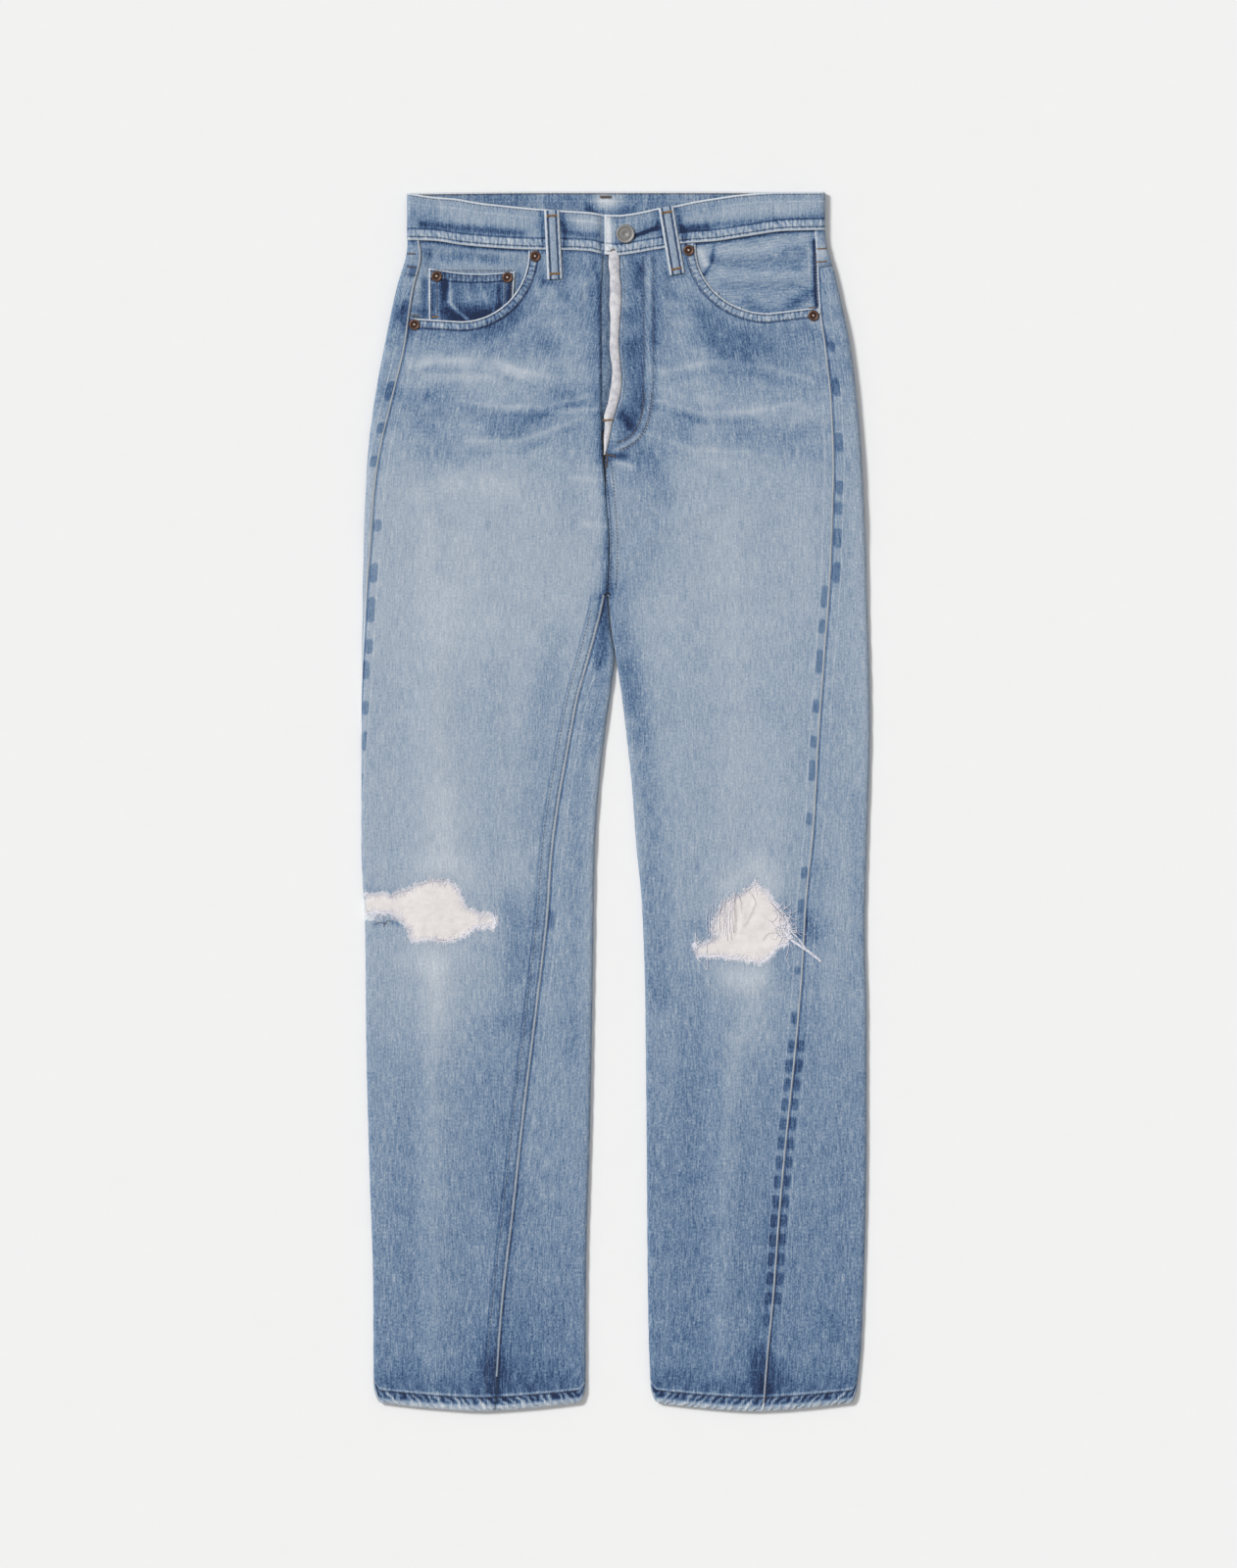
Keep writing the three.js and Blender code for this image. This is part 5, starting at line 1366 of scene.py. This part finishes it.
# %% Back pockets
POCKET_TOP_Y = 424
POCKET_HEM = 22 * mm
POCKET_Z = 0.05 * mm


def on_back_pocket(plan, centre_x, tilt):
    """Turns places on a pocket, in millimetres from the middle of its top, to where the pocket lies."""
    turn = np.array([(math.cos(tilt), math.sin(tilt)), (-math.sin(tilt), math.cos(tilt))])
    return (plan @ turn + (centre_x, POCKET_TOP_Y)) * mm


def make_back_pocket(name, centre_x, tilt):
    mesh, share, up = grid_mesh(name, 46, 48)
    across = 2 * share - 1
    half = 64 + 6 * up
    foot_y = -128 - 22 * (1 - np.abs(across))
    x, y = across * half, foot_y * (1 - up)
    plan = on_back_pocket(np.column_stack([x, y]), centre_x, tilt)
    real_x, real_y = plan.T
    top = -y * mm
    rim = np.minimum(np.minimum((half - np.abs(x)) * mm, (y - foot_y) * mm), top)
    z = 0.35 * mm * (1 - smooth_step(0, 1.6 * mm, rim)) + POCKET_Z
    tone = 0.6 + 0.06 * cloud(real_x, real_y, 30 * mm, 61.0) - 0.06 * np.exp(-((rim / (9 * mm)) ** 2))
    hem = top < POCKET_HEM
    stored = {"tone": tone, "edge": np.where(hem, top, FAR), "run": real_x,
              "band": np.where(hem, 13 * mm, 0.0), "seam": rim}
    write_points(mesh, np.column_stack([plan, z]), plan, stored)
    trim(mesh, None, flip=True)
    piece = put(name, mesh, (denim_face, denim_inner), name, thickness=1.5 * mm, inner=1)
    declare(piece, [134 * mm], 139 * mm)


back_pockets = (("back_pocket_right", -112, 0.12), ("back_pocket_left", 94, -0.12))
for name, centre_x, tilt in back_pockets:
    make_back_pocket(name, centre_x, tilt)

# %% [markdown]
# ## Bare weft in the knee rips
# At each knee the blue warp has worn right through. What fills the hole is the white weft: many short
# yarns that have matted into a soft web, lying a little below the front and tucked under its edge.

# %% Webs of weft
knee_folds = [
    (0.5, 2.2, (101, -120), (103, -104), (104, -90)), (-0.6, 1.6, (106, -118), (107, -104), (106, -88)),
    (0.5, 2, (110, -114), (112, -98)), (-0.5, 1.8, (95, -112), (96, -98)), (0.4, 2, (90, -114), (92, -104)),
    (0.6, 6, (118, -112), (130, -100), (128, -84)), (-0.5, 2, (118, -92), (122, -80)),
    (0.5, 3, (76, -130), (110, -132), (140, -128)), (-0.5, 2, (90, -124), (116, -126)),
    (0.6, 3, (136, -104), (146, -112)), (-0.5, 2, (130, -110), (142, -118)),
    (0.6, 5, (-160, -90), (-150, -104), (-146, -114)), (-0.5, 3, (-178, -96), (-168, -104), (-166, -116)),
    (0.5, 2.4, (-182, -108), (-170, -110)), (-0.5, 1.4, (-158, -118), (-146, -120), (-134, -113)),
    (0.4, 4, (-214, -90), (-190, -90), (-176, -86)), (-0.4, 3, (-206, -94), (-186, -96)),
    (0.4, 5, (-150, -78), (-140, -90)),
]
WEFT_DEPTH = 0.45 * mm


def weft_rise(x, y):
    return (0.6 * brush(x, y, knee_folds) - 0.15) * mm + 0.15 * mm * cloud(x, y, 6 * mm, 71.0)


for name, left_x, right_x, low in (
        ("knee_weft_right", lambda y: outer_right(y) + 0.2 * mm, upright(-98), -129),
        ("knee_weft_left", upright(62), upright(160), -149)):
    make_patch(name, left_x, right_x, low * mm, -64 * mm, WEFT_DEPTH, level(0.9), spacing=1.1,
               materials=(weft, weft), stands_in=False, thickness=0.5, lift=weft_rise)

# %% [markdown]
# ## Rivets and the waist button
# Both are turned shapes: a profile drawn from the axis outwards and spun once round it.
# The rivets are plain domes with a groove and a raised pip. The button has a rolled rim and a sunk middle,
# and stands on a short shank that goes through the buttonhole. Neither carries any lettering.

# %% Spin a profile
def turned(name, profile, centre, material, steps=32):
    """profile: radius and height in millimetres and how rubbed that ring is, from the axis and back to it."""
    bm = bmesh.new()
    ring = [bm.verts.new((radius * mm, 0, height * mm)) for radius, height, _ in profile]
    for pair in zip(ring[:-1], ring[1:]):
        bm.edges.new(pair)
    bmesh.ops.spin(bm, geom=bm.verts[:] + bm.edges[:], axis=(0, 0, 1), cent=(0, 0, 0), angle=2 * math.pi,
                   steps=steps, use_merge=True)
    bmesh.ops.remove_doubles(bm, verts=bm.verts, dist=1e-6)
    bmesh.ops.recalc_face_normals(bm, faces=bm.faces)
    bmesh.ops.translate(bm, verts=bm.verts, vec=centre)
    mesh = bpy.data.meshes.new(name)
    bm.to_mesh(mesh)
    bm.free()
    radii, _, rubbed = np.array(profile[: len(profile) - 3]).T
    stored = mesh.attributes.new("rub", "FLOAT", "POINT")
    for vertex in mesh.vertices:
        far = math.hypot(vertex.co.x - centre[0], vertex.co.y - centre[1]) / mm
        stored.data[vertex.index].value = float(np.interp(far, radii, rubbed))
    mesh.polygons.foreach_set("use_smooth", np.ones(len(mesh.polygons), bool))
    put(name, mesh, (material,), name)
    print(name, "faces", len(mesh.polygons))


def foot_of(name):
    """The middle of a CAD node's foot."""
    low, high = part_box(name)
    return (low[0] + high[0]) / 2, (low[1] + high[1]) / 2, low[2]


RIVET = [
    (0, 1.5, 1.2), (0.55, 1.45, 1.1), (1.05, 1.1, 0.5), (1.5, 0.8, 0.1), (2.3, 0.72, 0.15),
    (2.9, 0.9, 0.35), (3.4, 1.2, 0.6), (4.0, 1.28, 0.65), (4.5, 1.05, 0.55), (4.75, 0.6, 0.4),
    (4.8, 0.0, 0.3), (0, 0.0, 0)]
for place in ("coin_inner", "coin_outer", "mouth_right_top", "mouth_right_side", "mouth_left_top",
              "mouth_left_side"):
    turned("rivet_" + place, RIVET, foot_of("rivet_" + place), copper)

low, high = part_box("waist_button")
tall = (high[2] - low[2]) / mm
BUTTON = [(0, tall - 1.0, 0.75), (1.3, tall - 0.95, 0.6), (1.9, tall - 0.6, 0.45), (3.4, tall - 0.5, 0.4),
          (5.0, tall - 0.62, 0.3), (5.7, tall - 0.72, 0.15), (6.3, tall - 0.4, 0.45), (7.0, tall - 0.05, 1.0),
          (7.6, tall - 0.1, 0.9), (8.1, tall - 0.6, 0.6), (8.2, tall - 1.1, 0.5), (7.6, tall - 1.6, 0.4),
          (2.2, tall - 1.8, 0.2), (2.2, 0, 0.2), (0, 0, 0)]
turned("waist_button", BUTTON, foot_of("waist_button"), grey_metal, steps=48)

# %% [markdown]
# ## Stitches
# Lockstitch shows as a row of short slanted beads with a little gap after each. A bead is a squeezed
# sphere of two dozen faces, laid between two places on the cloth. A bar tack is the same bead, packed
# side by side across a short bar. Rows are gathered by the colour of their thread.

# %% Sewing helpers
def front_at(depth=0.0):
    return lambda x, y: lying(x, y)[..., 2] - depth


def on_band(x, y):
    return front_point(x, BAND_Y + 0 * x, BAND_PROUD + 0 * x, soft_relief)[..., 2]


def parallel(path, offset):
    run = np.gradient(path, axis=0)
    run = run / np.hypot(run[:, 0], run[:, 1])[:, None]
    return path + offset * mm * np.column_stack([-run[:, 1], run[:, 0]])


def by_height(seam_x, high, low, offset=0.0):
    y = np.linspace(high, low, 60) * mm
    return np.column_stack([seam_x(y) + offset * mm, y])


def by_x(line, x0, x1, offset=0.0):
    x = np.linspace(x0, x1, 50) * mm
    return np.column_stack([x, line(x) + offset * mm])


beads = {}
BEAD_SHARE = 0.74
PROUD = 0.08 * mm


def sew(kind, path, surface=None, pitch=3.0, thick=0.42, side=1):
    """Lays a row on a surface, or along a path with heights of its own; pitch and thick in millimetres."""
    path = np.asarray(path, float)
    steps = np.concatenate([[0], np.cumsum(np.hypot(*np.diff(path, axis=0)[:, :2].T))])
    count = max(2, int(steps[-1] / (pitch * mm)))
    starts = np.arange(count) * steps[-1] / count
    ends = []
    for run in (starts, starts + BEAD_SHARE * steps[-1] / count):
        place = np.column_stack([np.interp(run, steps, line) for line in path.T])
        if surface is not None:
            z = surface(place[:, 0], place[:, 1]) + side * PROUD
            place = np.column_stack([place[:, :2], z])
        ends.append(place)
    beads.setdefault(kind, []).append((ends[0], ends[1], thick * mm))


def tack(kind, start, end, surface, tall=1.7):
    """A bar tack: short beads laid across the bar."""
    start, end = np.array(start) * mm, np.array(end) * mm
    along = (end - start) / np.hypot(*(end - start))
    beside = np.array([-along[1], along[0]]) * tall * mm / 2
    count = int(np.hypot(*(end - start)) / (0.62 * mm))
    places = start + np.linspace(0, 1, count)[:, None] * (end - start)
    slant = along * 0.25 * mm
    ends = []
    for shift in (-beside - slant, beside + slant):
        place = places + shift
        ends.append(np.column_stack([place, surface(place[:, 0], place[:, 1]) + 0.2 * mm]))
    beads.setdefault(kind, []).append((ends[0], ends[1], 0.4 * mm))


# %% Rows on the fronts
on_front, on_facing = front_at(), front_at(2 * FRONT_LAYER)
for mouth, out in ((mouth_right, -1), (mouth_left, 1)):
    whole = np.column_stack([np.interp(np.linspace(0, 26, 160), np.arange(27), line) for line in mouth.T])
    for offset in (1.6, 7.2):
        sew("faded", parallel(whole, -out * offset), on_front, pitch=2.7)
for offset in (-1.2, -7.6):
    sew("faded", by_x(lambda x: COIN_TOP - 0.4 * mm + 0 * x, -163, -90, offset), front_at(FRONT_LAYER))
for x0 in (-162.4, -156.6, -96.4, -90.6):
    lean = 0.06 if x0 > -100 else 0.0
    y = np.linspace(458, 424 if x0 < -100 else 428, 12)
    sew("brown", np.column_stack([x0 - lean * (466 - y), y]) * mm, front_at(FRONT_LAYER), pitch=2.5)
for x0 in (-94.5, -88.8):
    sew("brown", np.array([(x0, 481.5), (x0, 467)]) * mm, on_facing, pitch=2.3)
j_stitch = smooth_line((314, -3), (318, 8), (326, 16.5), (340, 22), (356, 24), (400, 24.5), (478, 24))
heights = np.linspace(478, 315, 80) * mm
j_curve = np.column_stack([j_stitch(heights), heights])
for offset in (0, 8.6):
    sew("faded", parallel(j_curve, offset), on_front)
for offset in (1.2, 7.2):
    sew("brown", parallel(j_curve[-22:], offset), on_front, pitch=2.6, thick=0.5)
sew("faded", by_height(fly_edge, 476, 334, 2.4), on_front, pitch=2.6, thick=0.28)
for offset in (1.8, 7.4):
    sew("faded", by_height(rise_line, 300, 186, offset), on_front)
for offset, kind in ((-2.8, "faded"), (-9.6, "brown")):
    sew(kind, by_height(inseam_right_x, 168, -520, offset), on_front, pitch=3.1, thick=0.3)
sew("faded", by_height(outseam_left_x, 482, 436, -2.2), on_front, pitch=2.6)

# %% Rows on the waistband, the hems and the hidden side
for line, offset in ((band_foot_front, 3.2), (band_head_front, -2.2)):
    for x0, x1 in ((-181, -12), (-8, 181)):
        sew("brown", by_x(line, x0, x1, offset), on_band, pitch=2.9, thick=0.3)
back_face = level(SEAT_LIFT + BAND_CLOTH - 0.1 * mm)
sew("gold", by_x(band_head_back, -172, 172, -1.6), back_face, pitch=2.4)
for line, offset in ((band_foot_back, 3.2), (band_head_back, -2.2)):
    sew("brown", by_x(line, -178, 178, offset), level(SEAT_LIFT - BAND_PROUD), side=-1)
for leg in (right, left):
    share = np.linspace(0.02, 0.98, 120)
    *_, quarter, flat = tube_size(leg, HEM_Y)
    along = quarter + share * flat
    for side in (1, -1):
        place = tube_point(leg, side * along, HEM_Y + 11.2 * mm, 0.0, soft_relief)[0]
        place[:, 2] += side * PROUD
        sew("brown", place, thick=0.3)
for offset in (1.8, 7.6):
    for x0, x1 in ((-182, -11), (-8, 182)):
        sew("gold", by_x(yoke_seam, x0, x1, -offset), under_seat, side=-1)
    sew("gold", by_height(rise_line, 486, 240, -offset), under_seat, side=-1)
for _, centre_x, tilt in back_pockets:
    for inset in (1.6, 7.4):
        plan = np.array([(-70 + inset, -1), (-64 + inset, -128 + 0.2 * inset), (0, -150 + 1.1 * inset),
                         (64 - inset, -128 + 0.2 * inset), (70 - inset, -1)])
        sew("gold", on_back_pocket(plan, centre_x, tilt), level(POCKET_Z), side=-1)
print("rows of stitches", {kind: len(rows) for kind, rows in beads.items()})

# %% Bar tacks
for name, rows in loop_rows.items():
    for row in rows:
        sew("faded", row, pitch=2.6, thick=0.3)
    for one, other in loop_ends[name]:
        inset = 0.12 * (other[:2] - one[:2])
        height = level((one[2] + other[2]) / 2)
        tack("tack", (one[:2] + inset) / mm, (other[:2] - inset) / mm, height, 2.3)
tack("tack", (-11.5, 334), (-3, 334.8), lambda x, y: on_front(x, y) + 1.4 * mm)
tack("tack_dark", (-10, 305), (0, 302.4), on_front)
tack("tack_dark", (-7.5, 305.5), (-7.5, 293), on_front)
tack("tack_dark", (-13.5, 530.5), (-4.5, 530.5), back_face, 2.6)
for y in (473, 484.5):
    tack("tack", (176.5, y), (185, y + 0.6), on_front, 1.3)
    tack("tack_dark", (-183, y - 4), (-176, y - 4.4), on_front, 1.3)
tack("tack", (-161, 425), (-156, 425), front_at(FRONT_LAYER), 1.6)
tack("tack", (-4.6, 483), (-1.2, 484), on_band, 1.6)
for foot_x, foot_y in ((-176, 427), (173, 434)):
    tack("tack_dark", (foot_x - 3.4, foot_y - 1), (foot_x + 3.4, foot_y - 1), on_front, 1.4)


# %% Turn the rows into meshes
def lay_beads(name, kinds, material):
    whole = bmesh.new()
    count = 0
    for start, end, thick in [row for kind in kinds for row in beads.get(kind, [])]:
        row = bmesh.new()
        for a, b in zip(start, end):
            a, b = Vector(a), Vector(b)
            reach = (b - a).length / (2 * thick)
            turn = (b - a).to_track_quat("Z", "Y").to_matrix().to_4x4()
            place = Matrix.Translation((a + b) / 2) @ turn @ Matrix.Diagonal((1, 1, reach, 1))
            bmesh.ops.create_uvsphere(row, u_segments=6, v_segments=4, radius=thick, matrix=place)
            count += 1
        made = bpy.data.meshes.new("row")
        row.to_mesh(made)
        row.free()
        whole.from_mesh(made)
        bpy.data.meshes.remove(made)
    mesh = bpy.data.meshes.new(name)
    whole.to_mesh(mesh)
    whole.free()
    mesh.polygons.foreach_set("use_smooth", np.ones(len(mesh.polygons), bool))
    put(name, mesh, (material,))
    print(name, "stitches", count)


lay_beads("faded_stitches", ["faded"], grey_thread_and_shadow_lines)
lay_beads("brown_stitches", ["brown", "tack_dark"], brown_thread_and_shade_lines)
lay_beads("golden_stitches", ["gold", "tack"], gold_thread)

# %% [markdown]
# ## Frayed threads
# The edge of each rip is a fringe of cut yarns. Most are a few millimetres long and curl into the hole;
# a few long ones have tangled and lie out over the cloth. Each is a thin curve, and one object holds all
# the threads of a rip. It is made a mesh once they are laid. The random draws are seeded.

# %% Lay loose threads
draw = np.random.default_rng(41)


def thread_z(rip, x, y):
    over = np.where(inside(rip, x, y), weft_rise(x, y) - WEFT_DEPTH, 0.0)
    return lying(x, y)[..., 2] + over + 0.25 * mm


def wander(start, heading, length, curl, stops=7):
    """A curling path in plan: a start, a heading in radians, a length and a total turn."""
    turn = heading + np.linspace(0, curl, stops) + draw.normal(0, 0.22, stops)
    step = length / (stops - 1)
    moves = np.column_stack([np.cos(turn), np.sin(turn)]) * step
    return np.vstack([start, start + np.cumsum(moves[:-1], 0)])


FRINGE_SPACING = 0.45 * mm


def fringe(rip, longest, outward=False):
    closed = np.vstack([rip, rip[:1]])
    steps = np.concatenate([[0], np.cumsum(np.hypot(*np.diff(closed, axis=0).T))])
    laid = []
    for run in np.arange(0, steps[-1], FRINGE_SPACING):
        run = run + draw.uniform(-0.3, 0.3) * FRINGE_SPACING
        here = np.array([np.interp(run, steps, line) for line in closed.T])
        if here[0] < outer_right(here[1]) + 1.5 * mm:
            continue
        there = np.array([np.interp(run + 0.5 * mm, steps, line) for line in closed.T])
        heading = math.atan2(*(there - here)[::-1]) - math.pi / 2
        heading += (math.pi if outward else 0) + draw.normal(0, 0.55)
        length = longest * mm * (0.25 + 0.75 * draw.random() ** 2)
        start = here - 0.6 * mm * np.array([math.cos(heading), math.sin(heading)])
        laid.append(wander(start, heading, length, draw.normal(0, 1.1)))
    return laid


def lay_threads(name, rip, groups, material=loose_yarn):
    """groups: a thickness, a list of paths in plan and, if they stand clear, a lift, in millimetres."""
    curve = bpy.data.curves.new(name, "CURVE")
    curve.dimensions, curve.bevel_depth, curve.bevel_resolution = "3D", 1.0, 0
    every = np.vstack([path for group in groups for path in group[1]])
    heights = iter(thread_z(rip, every[:, 0], every[:, 1]))
    for thick, paths, *lift in groups:
        for path in paths:
            z = [next(heights) + sum(lift) * mm for _ in path]
            spline = curve.splines.new("POLY")
            spline.points.add(len(path) - 1)
            radius = thick * mm * np.linspace(1, 0.6, len(path))
            for point, place, height, wide in zip(spline.points, path, z, radius):
                point.co, point.radius = (*place, height, 1), wide
    holder = bpy.data.objects.new(name, curve)
    mesh = bpy.data.meshes.new_from_object(holder)
    bpy.data.objects.remove(holder)
    mesh.name = name
    mesh.materials.clear()
    put(name, mesh, (material,))
    print(name, "faces", len(mesh.polygons))


def bend(*marks, stops=16):
    """A smooth path in plan through marks given in millimetres."""
    marks = np.array(marks, float)
    at = np.linspace(0, len(marks) - 1, stops)
    soft = np.column_stack([np.interp(at, np.arange(len(marks)), line) for line in marks.T])
    soft[1:-1] = (soft[:-2] + 2 * soft[1:-1] + soft[2:]) / 4
    return soft * mm


def jitter(path, amount):
    return path + draw.normal(0, amount * mm, path.shape) * np.linspace(0.3, 1, len(path))[:, None]


def drift(path, amount):
    return path + draw.normal(0, amount * mm, 2)


slit_right = [
    wander(np.array((x, y)) * mm, heading, 7 * mm, draw.normal(0, 1.2)) for x, y, heading in zip(
        draw.uniform(-122, -104, 30), draw.uniform(-112, -96, 30), draw.choice([-1.4, 1.5, 1.8, -1.8], 30))]
left_end = [
    wander(np.array((x, y)) * mm, heading, 5 * mm, draw.normal(0, 1.2)) for x, y, heading in zip(
        draw.uniform(-214, -186, 40), draw.uniform(-106, -96, 40), draw.uniform(-3, 3, 40))]
tangle = [
    wander(np.array((x, y)) * mm, heading, draw.uniform(8, 20) * mm, draw.normal(0, 2.2), 12)
    for x, y, heading in zip(
        draw.uniform(138, 152, 34), draw.uniform(-124, -90, 34), draw.uniform(-1.6, 0.6, 34))]
fan = [
    jitter(bend((x, -118 + draw.uniform(-4, 4)), (x + draw.uniform(-2, 2), -100),
                (x + draw.uniform(0, 3), top)), 0.5)
    for x, top in zip(np.linspace(80, 103, 13), np.linspace(-92, -80, 13))]
long_yarn = bend((146, -110), (152, -120), (160, -126), (168, -131), (176, -137), (180, -140.6))
bundle = [drift(jitter(long_yarn, 0.35), 0.6) for _ in range(9)]
bundle += [jitter(bend((143, -104), (152, -112), (160, -120), (166, -129)), 0.5) for _ in range(5)]
strays = [
    bend((152, -124), (151, -132), (149, -138), (153, -146)), bend((149, -102), (154, -112), (160, -111)),
    bend((70, -116), (71, -130), (72, -138), (78, -144), (79.5, -148)),
    bend((80, -148), (80.4, -138), (79.6, -126)), bend((71, -119), (74, -124), (77, -119)),
    bend((123, -66), (122, -74), (124, -82)), bend((99, -80), (103, -78), (106, -84), (101, -90))]
lay_threads("frayed_threads_right", rip_right, [
    (0.22, fringe(rip_right, 6.5)), (0.24, fringe(rip_right, 5.0, outward=True)),
    (0.2, slit_right), (0.2, left_end)])
lay_threads("frayed_threads_left", rip_left, [
    (0.22, fringe(rip_left, 7)), (0.24, fringe(rip_left, 5.5, outward=True)),
    (0.26, tangle, 0.8), (0.24, fan, 0.8), (0.26, bundle, 0.3), (0.3, strays, 0.4)])
# Dark brown curves: one along the right rip's lower edge, and short ones under its left end that are painted
# shade laid over the shade strokes there.
lay_threads("dark_thread_and_shade_right", rip_right, [
    (0.3, [bend((-158, -121), (-150, -122.5), (-143, -121.8), (-137, -119.6), (-131, -116))]),
    (0.22, [bend((-212, -108), (-206, -106), (-199, -108)), bend((-204, -110), (-200, -104), (-195, -107))])],
    brown_thread_and_shade_lines)
# Painted shadow: thin grey lines laid beside the curled threads in the left rip, standing for the fine
# shadows of the curls.
curl_shadow_paths = [
    bend((135, -88), (143, -96), (150, -105), (148, -112), (140, -110), (136, -105)),
    bend((129, -122), (133, -116), (141, -115), (144, -119)),
    bend((105, -81), (104, -93), (105, -105), (104, -115)), bend((107, -81), (110, -88), (110, -98)),
    bend((119, -81), (123, -88), (120, -96), (116, -105), (112, -110)),
    bend((139, -92), (146, -101), (143, -106)), bend((96, -90), (94, -100), (97, -110))]
lay_threads("painted_curl_shadows_left", rip_left, [(0.13, curl_shadow_paths, 0.9)], grey_thread_and_shadow_lines)

# %% [markdown]
# ## Floor, light and camera
# The floor is plain and pale. A broad soft light comes from the upper left and even light from all
# round fills the shadows, so the shadow falls a little to the right, as on a studio table.
# The camera looks straight down from far above, so the garment has almost no perspective.

# %% Floor
floor_mesh = bpy.data.meshes.new("floor")
bm = bmesh.new()
bmesh.ops.create_grid(bm, x_segments=1, y_segments=1, size=4.0)
bm.to_mesh(floor_mesh)
bm.free()
floor = bpy.data.objects.new("floor", floor_mesh)
bpy.context.scene.collection.objects.link(floor)
floor.location.z = -0.2 * mm
paper = Recipe("pale paper", Roughness=1.0, Specular_IOR_Level=0.0)
fibres = paper.in_space(40, 40, 3.0)
floor_mesh.materials.append(paper.finish(Base_Color=paper.mix(fibres, (240, 240, 240), (243, 243, 243))))

# %% Light
world = bpy.data.worlds.new("even studio light")
bpy.context.scene.world = world
world.use_nodes = True
background = world.node_tree.nodes["Background"].inputs
background["Color"].default_value, background["Strength"].default_value = (1, 1, 1, 1), 0.453
lamp = bpy.data.lights.new("soft key light", "SUN")
lamp.energy, lamp.angle, lamp.color = 2.41, math.radians(15), (1.0, 0.997, 0.991)
towards_lamp = Vector((-0.62, 0.42, 0.78))
key = bpy.data.objects.new("soft key light", lamp)
key.rotation_euler = towards_lamp.to_track_quat("Z", "Y").to_euler()
bpy.context.scene.collection.objects.link(key)
bpy.context.scene.view_settings.view_transform = "Standard"

# %% Camera
eye = bpy.data.cameras.new("overhead camera")
eye.sensor_width, eye.lens = 36, 209.2
camera = bpy.data.objects.new("overhead camera", eye)
camera.location = (0.0024, 0.0152, 8.0)
bpy.context.scene.collection.objects.link(camera)
bpy.context.scene.camera = camera
